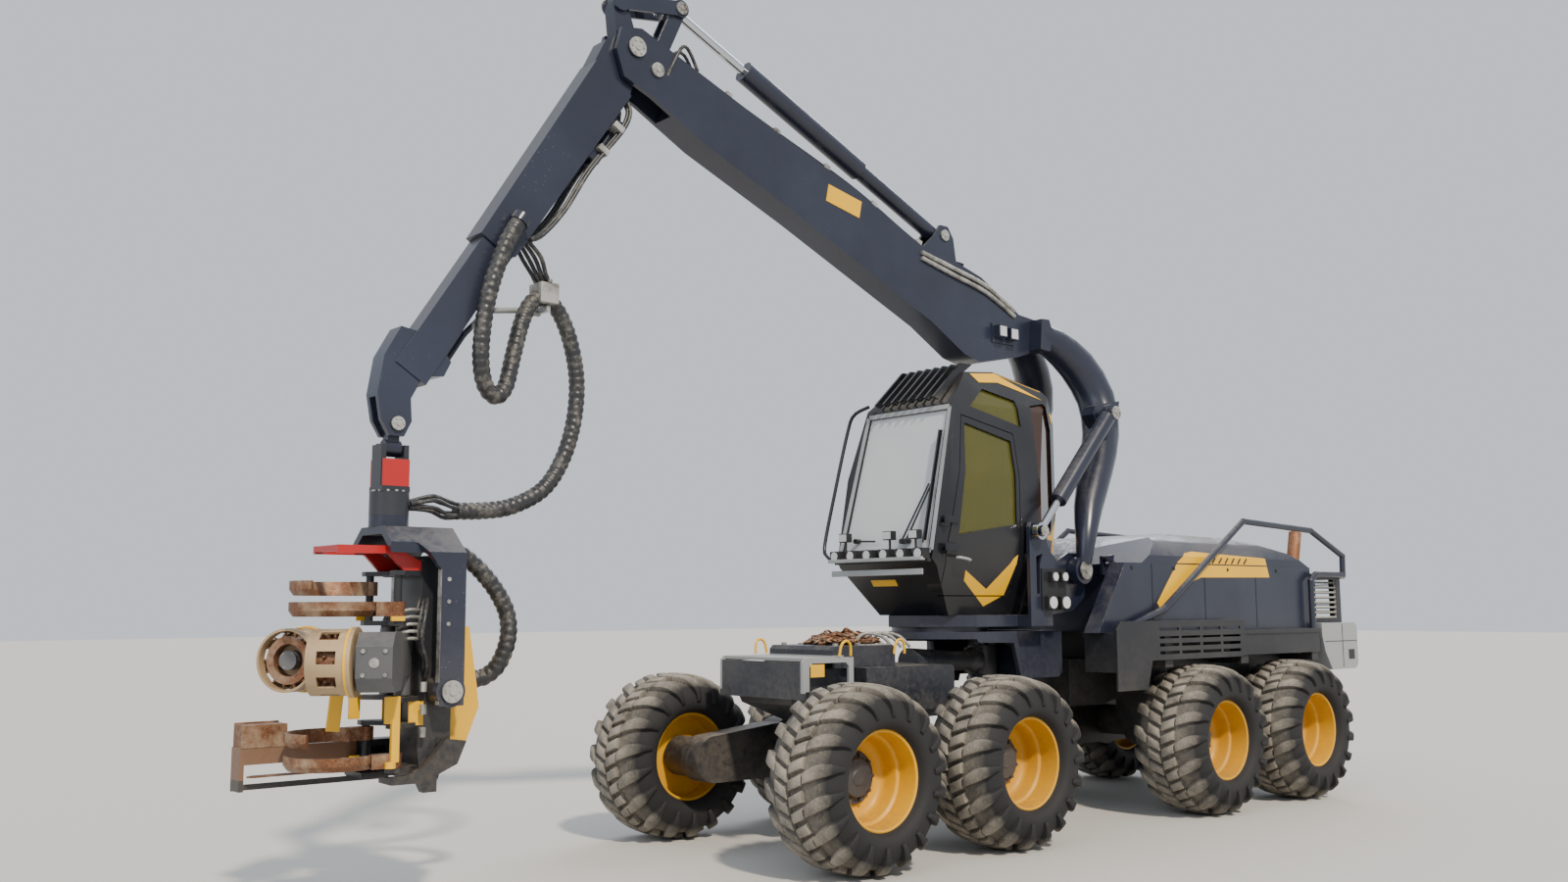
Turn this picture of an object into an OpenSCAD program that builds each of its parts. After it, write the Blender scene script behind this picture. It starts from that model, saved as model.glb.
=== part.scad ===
// Forestry harvester with eight wheels, three frames hinged in a row, and a cab and crane that slew together.
// X points forward, Y to the left and Z up. The ground is at Z = 0. All sizes are in millimetres.

/* [Running gear] */
// Distance between the centres of the left and right tyres
track = 2220; // [2100:10:2400]
// Distance between the two axles of one bogie
bogie_spacing = 1600; // [1500:10:1700]
// Distance between the front and rear bogie centres
wheelbase = 4360; // [4300:10:4500]
// Outer diameter of a tyre over its lugs
tyre_d = 1340; // [1280:5:1360]
// Width of a tyre
tyre_w = 710; // [650:5:730]
// Height of the tread lugs
lug_h = 55; // [40:1:65]
// Diameter over the rim's outer lips
rim_d = 714; // [690:2:720]
// Width of the rim over its lips
rim_w = 524; // [500:2:540]
// Depth of the wheel disc behind the tyre's middle plane
dish = 60; // [20:5:80]
// Radius of the wheel spindles
spindle_r = 70; // [50:1:80]
// Thickness of a bogie's gear case
case_w = 215; // [180:5:220]

/* [Frames] */
// Distance of the crane's slewing axis in front of the middle of the wheelbase
slew_x = 900; // [880:5:920]
// Distance of the front steering pin in front of the middle of the wheelbase
front_pin_x = 350; // [330:5:370]
// Distance of the rear steering pin behind the middle of the wheelbase
rear_pin_x = 250; // [230:5:270]
// Radius of the steering pins
steer_pin_r = 60; // [45:1:70]
// Height of the middle frame's deck
deck_z = 1660; // [1640:5:1680]
// Height of the slewing ring above the deck
ring_h = 40; // [35:1:60]
// Radius of the slewing ring
ring_r = 420; // [400:5:450]
// Height of the axle pads under the frames
pad_z = 960; // [940:5:1000]

/* [Hood] */
// Half width of the engine hood
hood_half_w = 1000; // [980:5:1010]
// Height of the side panels' lower edge
cowl_z0 = 1640; // [1620:5:1650]
// Height of the seam between side panels and lid
seam_z = 2260; // [2220:5:2300]
// Height of the lid's top
hood_top_z = 2560; // [2520:5:2580]
// Thickness of the hood's panels
panel_t = 25; // [15:1:40]
// Radius of the guard rail's tube
rail_r = 30; // [20:1:34]

/* [Cab] */
// Half width of the cab at the windows
cab_half_w = 620; // [600:5:630]
// Thickness of the cab's walls
wall_t = 50; // [40:1:60]
// Thickness of the window panes
pane_t = 10; // [8:1:14]
// Clearance between the door and its frame
door_gap = 8; // [6:0.5:8]

/* [Crane] */
// Width of the main boom
boom_w = 270; // [240:5:290]
// Width of the jib
jib_w = 220; // [200:5:240]
// Thickness of the jib's walls
jib_wall = 14; // [10:1:18]
// Radius of the forks' tube at the boom
neck_r = 180; // [160:2:184]
// Radius of the lift cylinders' barrels
lift_r = 76; // [60:1:80]
// Radius of the jib cylinder's front half
jib_cyl_r = 90; // [75:1:92]
// Radius of the jib cylinder's rear half
jib_cyl_back_r = 70; // [60:1:72]

/* [Head] */
// Radius of the feed rollers
roller_r = 210; // [180:5:225]
// Length of the feed rollers
roller_l = 260; // [240:5:270]
// Distance of a feed roller's centre from the middle plane
roller_y = 300; // [298:1:310]
// Angle by which the feed rollers turn inwards at the front
feed_turn = 37; // [30:1:37]
// Inner radius of the closed delimbing knives
knife_r = 235; // [225:1:245]
// Half width of the tilt frame
yoke_half_w = 360; // [350:1:380]
// Thickness of the tilt frame's plates
yoke_t = 50; // [40:1:55]

/* [Hidden] */
$fn = 48;

black_paint = "#2b2f3a";
dark_paint = "#1d1f25";
yellow_paint = "#e0a020";
tyre_rubber = "#2c2b2a";
worn_steel = "#7a5f4a";
light_grey = "#9aa0a6";
red_paint = "#b02424";
chrome = "#c8ccd0";
glass_tint = "#8fa3a8";

// Running clearances: pins in bores, faces that slide, and seats that only touch
pin_gap = 0.06;
seat = 0.3;
slide_gap = 5;

tyre_r = tyre_d / 2;
axle_z = tyre_r;
wheel_y = track / 2;
rim_r = rim_d / 2;
barrel_r = rim_r - 27;
lip_t = 15;
front_x = wheelbase / 2;
rear_x = -wheelbase / 2;
plate_z0 = deck_z + ring_h + seat;
plate_z1 = plate_z0 + 100;

// The part's own frame stands under the middle of its length
tail_x = -4400;
nose_x = slew_x + 5930;
origin_x = (nose_x + tail_x) / 2;

// Wheels: name, bogie centre, position along the bogie, side
WHEELS = [
    ["fl1", 1, 1, 1], ["fr1", 1, 1, -1], ["fl2", 1, -1, 1], ["fr2", 1, -1, -1],
    ["rl1", -1, 1, 1], ["rr1", -1, 1, -1], ["rl2", -1, -1, 1], ["rr2", -1, -1, -1]
];
function wheel_at(w) = [w[1] * wheelbase / 2 + w[2] * bogie_spacing / 2, w[3] * wheel_y, axle_z];

// A point of the crane's plane, from its reach and height with the crane straight ahead
function cr(d, z) = [slew_x + d, z];

fork_pin = cr(-1040, 2190);
lift_base = cr(-490, 2520);
lift_top = cr(-1540, 3640);
jib_pin = cr(3350, 6050);
rocker_pin = cr(3160, 5920);
rocker_top = cr(2900, 6500);
link_end = cr(3450, 6400);
link_mid = (rocker_top + link_end) / 2;
jib_cyl_base = cr(-40, 5200);
tip_pin = cr(5150, 3060);
sway_z = 2905;
rotator_x = tip_pin[0];
rotor_z = 2467;
tilt_pin = cr(4870, 1360);
trunk_x = slew_x + 5480;
knife_pin_x = slew_x + 5170;
knife_pin_y = 205;
feed_pin_x = slew_x + 5075;
feed_pin_y = 105;
feed_z = 1560;
saw_z = 845;
fork_y = 745;
lift_y = 745;

// Plate drawn in the XZ plane, t thick, with its middle at y
module plate_y(outline, y, t) {
    translate([0, y + t / 2, 0]) rotate([90, 0, 0]) linear_extrude(t) polygon(outline);
}
// Plate drawn in the YZ plane, from x to x + t
module plate_x(outline, x, t) {
    translate([x, 0, 0]) rotate([90, 0, 90]) linear_extrude(t) polygon(outline);
}
// Plate drawn in the XY plane, from z to z + t
module plate_z(outline, z, t) {
    translate([0, 0, z]) linear_extrude(t) polygon(outline);
}
// Round bar along Y through a point of the XZ plane
module bar_y(at, r, y0, y1) {
    translate([at[0], y1, at[1]]) rotate([90, 0, 0]) cylinder(r = r, h = y1 - y0);
}
// Round bar along X
module bar_x(x0, x1, y, z, r) {
    translate([x0, y, z]) rotate([0, 90, 0]) cylinder(r = r, h = x1 - x0);
}
// Box between two corners
module block(a, b) {
    translate(a) cube(b - a);
}
// Moves children so that local X runs from one point of the XZ plane to another, at y
module along(a, b, y = 0) {
    translate([a[0], y, a[1]]) rotate([0, -atan2(b[1] - a[1], b[0] - a[0]), 0]) children();
}
// Copy on each side of the middle plane
module both_sides() {
    children();
    mirror([0, 1, 0]) children();
}
function span(a, b) = norm(b - a);
// Four corners of a flat bar between two points, w to each side
function bar_outline(a, b, w) =
    let (n = [a[1] - b[1], b[0] - a[0]] * w / norm(b - a))
    [a - n, b - n, b + n, a + n];

// Convex outline with each edge moved inwards by t, corner by corner
function edge_normal(p, q) = [p[1] - q[1], q[0] - p[0]] / norm(q - p);
function inset_corner(a, b, c, t) =
    let (n1 = edge_normal(a, b), n2 = edge_normal(b, c), k = 1 + n1 * n2)
    b + (n1 + n2) * t / k;
function inset(outline, t) = [
    for (i = [0:len(outline) - 1])
        inset_corner(outline[(i + len(outline) - 1) % len(outline)], outline[i], outline[(i
            + 1) % len(outline)], t)
];

// Smooth route through points, with m steps between two of them
function catmull(a, b, c, d, t) =
    0.5 * (2 * b + (c - a) * t + (2 * a - 5 * b + 4 * c - d) * t * t + (3 * b - a - 3 * c + d) * t * t * t);
function route(p, m) = [
    for (i = [0:len(p) - 2], j = [0:m - 1])
        catmull(p[max(i - 1, 0)], p[i], p[i + 1], p[min(i + 2, len(p) - 1)], j / m),
    p[len(p) - 1]
];
function unit(v) = v / norm(v);
// Ring of a swept tube round point i, square to the route
function ring(p, i, r, sides, side_axis) =
    let (
        t = unit(p[min(i + 1, len(p) - 1)] - p[max(i - 1, 0)]),
        u = unit(cross(side_axis, t)),
        v = cross(t, u)
    )
    [for (k = [0:sides - 1]) p[i] + r * (cos(360 * k / sides) * u + sin(360 * k / sides) * v)];
// Tube swept along a route; radii has one value for each point
module sweep(p, radii, sides, side_axis = [0, 1, 0]) {
    n = len(p);
    points = [for (i = [0:n - 1]) each ring(p, i, radii[i], sides, side_axis)];
    walls = [
        for (i = [0:n - 2], k = [0:sides - 1])
            let (a = i * sides + k, b = i * sides + (k + 1) % sides)
            each [[b, a, a + sides], [b + sides, b, a + sides]]
    ];
    polyhedron(points, concat(
        walls,
        [[for (k = [0:sides - 1]) k]],
        [[for (k = [sides - 1:-1:0]) (n - 1) * sides + k]]
    ));
}
// Bent tube of straight bars with round elbows
module bent_tube(p, r) {
    for (i = [0:len(p) - 2]) {
        v = p[i + 1] - p[i];
        translate(p[i]) rotate([0, acos(v[2] / norm(v)), atan2(v[1], v[0])]) cylinder(r = r,
            h = norm(v), $fn = 24);
    }
    for (i = [1:len(p) - 2])
        translate(p[i]) sphere(r = r + 2, $fn = 24);
}

// Tyre: rings of a toothed section, four to each lug, with the lugs swept back towards the shoulders
lug_count = 11;
lug_half = 9.5;
flank = 3;
chevron = 8;
bead_y = 225;
crown_y = 0.19 * tyre_w;
shoulder_y = 0.465 * tyre_w;
shoulder_drop = 32;
wall_r = 0.75 * tyre_r;
// Angle from the lug's middle and whether the ring is on the lug's top
LUG_RINGS = [[-lug_half, 1], [lug_half, 1], [lug_half + flank, 0], [360 / lug_count - lug_half - flank, 0]];
module tyre_body() {
    top_r = tyre_r / cos(lug_half);
    bead_r = (barrel_r + seat) / cos(90 / lug_count + 4);
    section = [
        for (s = [1, -1])
            let (o = s > 0 ? [0, 1, 2, 3] : [3, 2, 1, 0])
            for (k = o)
                [s * [bead_y, tyre_w / 2, shoulder_y, crown_y][k], k]
    ];
    points = [
        for (l = [0:lug_count - 1], r = LUG_RINGS, p = section)
            let (
                drop = r[1] == 1 ? 0 : lug_h,
                radius = [bead_r, wall_r, top_r - shoulder_drop - drop, top_r - drop][p[1]],
                a = l * 360 / lug_count + r[0] - 90 + [0, chevron, chevron, 0][p[1]]
            )
            [radius * cos(a), p[0], radius * sin(a)]
    ];
    n = 4 * lug_count;
    m = len(section);
    faces = [
        for (i = [0:n - 1], j = [0:m - 1])
            let (a = i * m + j, b = i * m + (j + 1) % m, c = ((i + 1) % n) * m + (j + 1) % m, d = ((i
                + 1) % n) * m + j)
            each [[a, b, c], [a, c, d]]
    ];
    color(tyre_rubber) polyhedron(points, faces);
}

// Rim: barrel with two lips, a sunken disc and a hub cap with a blind bore for the spindle
hub_r = 135;
hub_out = 70;
spindle_end = 12;
disc_t = 20;
module rim_body() {
    half = rim_w / 2;
    color(yellow_paint) rotate([-90, 0, 0]) rotate([0, 0, 180]) difference() {
        rotate_extrude($fn = 72) union() {
            polygon([
                [barrel_r - 12, -half], [rim_r, -half], [rim_r, -half + lip_t], [barrel_r, -half
                    + lip_t + 4],
                [barrel_r, half - lip_t - 4], [rim_r, half - lip_t], [rim_r, half], [barrel_r - 12, half]
            ]);
            polygon([
                [0, -dish - disc_t], [hub_r + 30, -dish - disc_t], [hub_r + 100, -dish - disc_t - 25],
                [barrel_r - 6, -dish - disc_t - 25], [barrel_r - 6, -dish - 25], [hub_r + 105, -dish - 25],
                [hub_r + 35, -dish], [hub_r, -dish], [hub_r, -dish + hub_out - 15], [hub_r - 15, -dish
                    + hub_out],
                [0, -dish + hub_out]
            ]);
        }
        translate([0, 0, -dish - disc_t - 1]) cylinder(r = spindle_r + pin_gap, h = disc_t + hub_out
            - spindle_end + 1);
    }
}
module wheel_place(w) {
    translate(wheel_at(w)) mirror([0, w[3] < 0 ? 1 : 0, 0]) children();
}
module tyre(name) {
    for (w = WHEELS) if (w[0] == name) wheel_place(w) tyre_body();
}
module rim(name) {
    for (w = WHEELS) if (w[0] == name) wheel_place(w) rim_body();
}

// Bogie: a gear case on each side with a spindle at each end, on one axle housing
case_y = wheel_y - tyre_w / 2 - 20 - case_w;
case_end_r = 185;
case_mid_r = 250;
module bogie() {
    color(dark_paint) {
        both_sides() {
            translate([0, case_y + case_w, axle_z]) rotate([90, 0, 0]) linear_extrude(case_w) union() {
                for (s = [-1, 1]) translate([s * bogie_spacing / 2, 0]) circle(r = case_end_r);
                translate([0, 40]) circle(r = case_mid_r);
                polygon([
                    [-bogie_spacing / 2, -case_end_r], [bogie_spacing / 2, -case_end_r],
                    [bogie_spacing / 2, case_end_r], [180, 40 + 0.72 * case_mid_r + 30],
                    [-180, 40 + 0.72 * case_mid_r + 30], [-bogie_spacing / 2, case_end_r]
                ]);
            }
            for (s = [-1, 1]) translate([s * bogie_spacing / 2, 0, 0]) {
                bar_y([0, axle_z], 160, case_y + case_w - 1, wheel_y - dish - disc_t - 25 - slide_gap);
                bar_y([0, axle_z], spindle_r, wheel_y - dish - disc_t - 60, wheel_y - dish + hub_out
                    - spindle_end - disc_t / 20);
            }
        }
        bar_y([0, axle_z + 40], 150, -case_y - 1, case_y + 1);
        bar_y([0, axle_z + 40], 235, -170, 170);
        translate([180, 0, axle_z + 40]) rotate([0, 90, 0]) cylinder(r1 = 190, r2 = 120, h = 180);
        block([-240, -230, axle_z + 60], [240, 230, pad_z]);
    }
}
module front_bogies() {
    translate([front_x, 0, 0]) bogie();
}
module rear_bogies() {
    translate([rear_x, 0, 0]) mirror([1, 0, 0]) bogie();
}

// Steering joints: the outer frames carry an upper eye and a lower lug, the middle frame the pin and ear
eye_r = 130;
eye_z0 = 1270;
eye_z1 = 1530;
lug_z0 = 960;
lug_z1 = 1060;
module steering_eyes(x, back_x) {
    s = back_x > x ? 1 : -1;
    difference() {
        union() {
            translate([x, 0, eye_z0]) cylinder(r = eye_r, h = eye_z1 - eye_z0);
            translate([x, 0, lug_z0]) cylinder(r = eye_r, h = lug_z1 - lug_z0);
            block([min(x, back_x), -90, eye_z0 + 20], [max(x, back_x), 90, eye_z1 - 20]);
            block([min(x, back_x), -eye_r, lug_z0], [max(x, back_x), eye_r, lug_z1]);
        }
        translate([x, 0, lug_z0 - 1]) cylinder(r = steer_pin_r + pin_gap, h = eye_z1 - lug_z0 + 2);
    }
}

// Front frame: belly over the axle, side tanks, raised deck, open nose frame and the neck to the steering pin
module front_frame() {
    x0 = front_x - 910;
    color(black_paint) {
        plate_y([
            [x0, 1000], [front_x - 250, pad_z + seat], [front_x + 250, pad_z + seat], [front_x + 700, 1130],
            [front_x + 740, 1200], [front_x + 740, 1400], [x0, 1400]
        ], 0, 620);
        both_sides() plate_y([
            [x0, 1160], [x0 + 130, 1050], [front_x - 60, 1050], [front_x + 100, 1130],
            [front_x + 100, 1400], [x0 + 30, 1400], [x0, 1370]
        ], 405, 190);
        plate_y([
            [front_x - 340, 1399], [front_x + 350, 1399], [front_x + 350, 1540], [front_x + 320, 1570],
            [front_x - 310, 1570], [front_x - 340, 1540]
        ], 0, 760);
    }
    color(light_grey) {
        both_sides() difference() {
            plate_y([
                [front_x + 240, 1240], [front_x + 770, 1240], [front_x + 770, 1460], [front_x + 740, 1490],
                [front_x + 240, 1490]
            ], 488, 24);
            plate_y([
                [front_x + 290, 1200], [front_x + 700, 1200], [front_x + 700, 1420], [front_x + 670, 1450],
                [front_x + 320, 1450], [front_x + 290, 1420]
            ], 488, 30);
        }
        block([front_x + 345, -500, 1466], [front_x + 740, 500, 1490]);
        block([front_x + 739, -500, 1180], [front_x + 770, 500, 1460]);
    }
    color(black_paint) {
        // Horn: a turned neck that swells to a flange at the steering eye
        translate([front_pin_x + 90, 0, 1400]) rotate([0, 90, 0]) rotate_extrude() polygon([
            [0, 0], [115, 0], [115, 40], [85, 130], [85, 300], [125, x0 - front_pin_x - 60], [0, x0
                - front_pin_x - 60]
        ]);
        difference() {
            steering_eyes(front_pin_x, front_pin_x + 200);
            block([front_pin_x + 140, -200, eye_z0], [front_pin_x + 400, 200, eye_z1]);
        }
        plate_z([
            [front_pin_x + 100, -eye_r], [x0 + 40, -230], [x0 + 40, 230], [front_pin_x + 100, eye_r]
        ], lug_z0, lug_z1 - lug_z0);
        block([x0, -230, lug_z0], [x0 + 60, 230, 1100]);
    }
}

// Middle frame: deck under the slewing ring, with a column between the two steering pins
deck_front = 450;
deck_rear = -1060;
module mid_frame() {
    x1 = slew_x + deck_front;
    x2 = slew_x + deck_rear;
    column_front = front_pin_x - eye_r - slide_gap;
    column_rear = -rear_pin_x + eye_r + slide_gap;
    color(black_paint) {
        plate_z([
            [x2, -500], [slew_x + 120, -500], [slew_x + 330, -320], [x1, -130],
            [x1, 130], [slew_x + 330, 320], [slew_x + 120, 500], [x2, 500]
        ], deck_z - 60, 60);
        both_sides() plate_y([
            [slew_x + 120, deck_z - 1], [slew_x + 60, deck_z - 90], [front_pin_x + 150, deck_z - 100],
            [front_pin_x + 60, 1250], [x2 + 60, 1250], [x2, 1290], [x2, deck_z - 1]
        ], 480, 40);
        block([column_rear, -280, 1075], [column_front, 280, deck_z - 30]);
        block([column_rear, -279, lug_z0 + 10], [column_front, 279, 1080]);
        // Ears that hold the pins, between the eyes and lugs of the outer frames
        for (x = [front_pin_x, -rear_pin_x])
            translate([x, 0, lug_z1 + slide_gap]) cylinder(r = eye_r - 5, h = eye_z0 - lug_z1
                - 2 * slide_gap);
        block([-rear_pin_x, -eye_r + 5, lug_z1 + slide_gap], [front_pin_x, eye_r - 5, eye_z0 - slide_gap]);
        for (x = [front_pin_x, -rear_pin_x]) {
            translate([x, 0, lug_z0 - 20]) cylinder(r = steer_pin_r, h = deck_z - 30 - lug_z0 + 20);
        }
        // The deck reaches back over the rear pin
        block([-rear_pin_x - 90, -110, deck_z - 60], [x2 + 10, 110, deck_z]);
        translate([slew_x, 0, deck_z - 1]) difference() {
            cylinder(r = ring_r, h = ring_h + 1, $fn = 96);
            translate([0, 0, -1]) cylinder(r = ring_r - 120, h = ring_h + 3, $fn = 96);
        }
        translate([slew_x, 0, deck_z - 1]) cylinder(r = 200, h = ring_h + 91);
    }
}

// Rear frame: beam from the steering eye to the tail, with outriggers that carry the panels
beam_half_w = 330;
beam_top = 1380;
module rear_frame() {
    x0 = -rear_pin_x - 230;
    color(dark_paint) {
        plate_y([
            [x0, lug_z0], [x0 - 500, lug_z0], [x0 - 700, 1000], [rear_x + 250, pad_z + seat], [rear_x
                - 250, pad_z + seat],
            [tail_x + 250, 1000], [tail_x + 120, 1100], [tail_x + 120, beam_top], [x0, beam_top]
        ], 0, 2 * beam_half_w);
        steering_eyes(-rear_pin_x, x0 - 20);
        // Outriggers: front end along the machine and length
        for (o = [[-900, 120], [-2150, 130], [-3480, 120]]) {
            block([o[0] - o[1], -1080, beam_top - 60], [o[0], 1080, beam_top]);
            both_sides() block([o[0] - o[1], 960, beam_top - 1], [o[0], 1080, cowl_z0 - 40]);
        }
        // Inner walls of the wheel arches
        both_sides() plate_y([
            [-800, 1200], [-1000, 1100], [-3560, 1100], [-3640, 1180], [-3640, cowl_z0 - 40], [-800,
                cowl_z0 - 40]
        ], 700, 20);
    }
}
module engine() {
    color(light_grey) translate([0, 0, beam_top + seat]) block([-2700, -420, 0], [-1050, 420, 780]);
}

// Hood outline: side and front views; each wall is one panel thick
cowl_front = -30;
cowl_lean = 420;
cowl_back = -3660;
recess_x = -700;
recess_y = 840;
module cowl_solid(t, z0, z1) {
    lean = cowl_lean / (seam_z - cowl_z0);
    difference() {
        plate_y([
            [cowl_front - t - lean * (z0 - cowl_z0), z0], [cowl_back + t, z0],
            [cowl_back + t, z1], [cowl_front - t - lean * (z1 - cowl_z0), z1]
        ], 0, 2 * (hood_half_w - t));
        block([recess_x - t, -recess_y - t, z0 - 10], [200, recess_y + t, z1 + 10]);
    }
}
module cowl() {
    ear_top = seam_z - seat;
    color(black_paint) {
        difference() {
            cowl_solid(0, cowl_z0, ear_top);
            cowl_solid(panel_t, cowl_z0 - 1, ear_top + 1);
        }
        // Caps over the two ears beside the lid's front edge
        both_sides() plate_z([
            [cowl_front - cowl_lean + 2, recess_y], [recess_x + 2, recess_y], [recess_x + 2, hood_half_w],
            [cowl_front - cowl_lean + 2, hood_half_w]
        ], ear_top - panel_t, panel_t);
        // Hinge posts of the lid on the recess wall
        both_sides() {
            plate_y([
                [recess_x - 10, seam_z - 120], [recess_x + 60, seam_z - 100], [recess_x + 60, hinge_z + 25],
                [recess_x + 10, hinge_z + 25], [recess_x + 10, seam_z - 5], [recess_x - 10, seam_z - 5]
            ], 600, 30);
        }
        both_sides() bar_y([hinge_x, hinge_z], 14, 590, 670);
    }
}
hinge_x = recess_x + 35;
hinge_z = seam_z + 45;
// Lid: crowned shell on the seam, hinged at its front edge
LID_SIDE = [
    [recess_x, seam_z], [recess_x - 420, hood_top_z - 50], [recess_x - 800, hood_top_z],
    [-2500, hood_top_z - 20], [-3300, hood_top_z - 160], [cowl_back + 20, seam_z]
];
LID_FRONT = [
    [-hood_half_w, seam_z], [hood_half_w, seam_z], [hood_half_w, seam_z + 70], [hood_half_w - 110,
        hood_top_z - 90],
    [hood_half_w - 330, hood_top_z], [-hood_half_w + 330, hood_top_z], [-hood_half_w + 110, hood_top_z
        - 90],
    [-hood_half_w, seam_z + 70]
];
module lid_solid(t) {
    intersection() {
        plate_y(inset(LID_SIDE, t), 0, 2 * hood_half_w + 2);
        plate_x(inset(LID_FRONT, t), -4200, 4200);
    }
}
module hood() {
    color(black_paint) {
        difference() {
            lid_solid(0);
            lid_solid(panel_t);
            block([cowl_back + 60, -hood_half_w + panel_t, seam_z - 5], [recess_x - 60, hood_half_w
                - panel_t, seam_z + panel_t + 5]);
        }
        both_sides() difference() {
            union() {
                bar_y([hinge_x, hinge_z], 30, 620, 665);
                plate_y([
                    [hinge_x - 5, hinge_z - 25], [recess_x - 45, hinge_z - 20], [recess_x - 60, hinge_z
                        + 40],
                    [hinge_x - 5, hinge_z + 25]
                ], 642.5, 45);
            }
            bar_y([hinge_x, hinge_z], 14 + pin_gap, 600, 700);
        }
    }
}

// Side panels: ledge under the hood, slotted skirts, steps and the tail box
skirt_y = hood_half_w + 125;
module body_panels() {
    color(dark_paint) both_sides() {
        plate_z([
            [-120, 760], [-120, skirt_y], [cowl_back + 60, skirt_y], [cowl_back + 60, 760]
        ], cowl_z0 - 40 + seat, 39.4);
        difference() {
            plate_y([
                [-120, 1140], [-560, 1140], [-640, 1390], [-2100, 1390], [-2160, 1420],
                [-2160, cowl_z0 + 100], [-190, cowl_z0 + 100], [-120, cowl_z0 + 30]
            ], skirt_y - 10, 20);
            for (row = [0:3], col = [0:3])
                block([-1060 - 340 * col, skirt_y - 40, 1440 + 70 * row], [-760 - 340 * col, skirt_y
                    + 20, 1468 + 70 * row]);
        }
        plate_y([[-2155, cowl_z0 - 20], [-3600, cowl_z0 - 20], [-3600, 1400], [-2155, 1400]], skirt_y
            - 30, 20);
        block([-140, 780, 1300], [-120, skirt_y - 1, cowl_z0 - 30]);
        block([-560, 780, 1300], [-121, skirt_y - 1, 1320]);
    }
    color(light_grey) difference() {
        plate_y([
            [cowl_back - 10, 1690], [tail_x + 40, 1690], [tail_x, 1650], [tail_x, 1260], [tail_x + 60,
                1210],
            [cowl_back - 190, 1210], [cowl_back - 60, 1400], [cowl_back - 10, 1560]
        ], 0, 2 * (hood_half_w + 100));
        block([tail_x + 120 - seat, -beam_half_w - seat, 1000], [cowl_back + 50, beam_half_w + seat,
            beam_top + seat]);
    }
}

// Radiator housing at the tail with louvred sides and rear
grille_front = cowl_back - 20;
grille_back = tail_x + 85;
grille_z0 = 1690 + seat;
grille_z1 = 2200;
grille_y = hood_half_w - 20;
module rear_grille() {
    color(dark_paint) {
        difference() {
            block([grille_back, -grille_y, grille_z0], [grille_front, grille_y, grille_z1]);
            block([grille_back + 30, 30 - grille_y, grille_z0 - 1], [grille_front - 30, grille_y - 30,
                grille_z1 - 30]);
            both_sides() block([grille_back + 90, grille_y - 80, grille_z0 + 50], [grille_front - 60,
                grille_y + 120, grille_z1 - 60]);
            block([grille_back - 50, 100 - grille_y, grille_z0 + 50], [grille_back + 60, grille_y - 100,
                grille_z1 - 60]);
        }
        both_sides() for (i = [0:7])
            translate([grille_back + 80, grille_y - 30, grille_z0 + 60 + i * 52]) rotate([-35, 0, 0])
                cube([grille_front - grille_back - 130, 34, 6]);
        for (i = [0:10])
            block([grille_back + 8, -900 + i * 176, grille_z0 + 40], [grille_back + 22, -882 + i * 176,
                grille_z1 - 50]);
        for (i = [0:4])
            block([grille_back + 8, -890, grille_z0 + 110 + i * 70], [grille_back + 22, 890, grille_z0
                + 122 + i * 70]);
    }
}

// Guard rails beside the lid and round the tail
rail_y = hood_half_w + rail_r + 30;
module guard_rails() {
    foot_z = cowl_z0;
    color(black_paint) {
        both_sides() {
            bent_tube([
                [-390, rail_y, foot_z], [-390, rail_y, cowl_z0 + 50], [-920, rail_y, 1840], [-2320,
                    rail_y, 2690],
                [-3600, rail_y, 2640], [tail_x + 160, rail_y, 2390], [tail_x + 170, rail_y, 2190]
            ], rail_r);
            bent_tube([
                [cowl_back + 100, rail_y, foot_z], [cowl_back + 100, rail_y, 2120], [cowl_back, rail_y,
                    2190],
                [tail_x + 170, rail_y, 2190], [tail_x + rail_r + 5, rail_y - 70, 2180], [tail_x
                    + rail_r + 5, 0, 2180]
            ], rail_r);
        }
    }
}
module exhaust() {
    color(worn_steel) translate([cowl_back - 150, 720, grille_z1 + seat]) {
        cylinder(r = 90, h = 60);
        translate([0, 0, 55]) rotate([0, -14, 0]) difference() {
            cylinder(r = 65, h = 400);
            translate([0, 0, 60]) cylinder(r = 57, h = 400);
        }
    }
}

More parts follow.
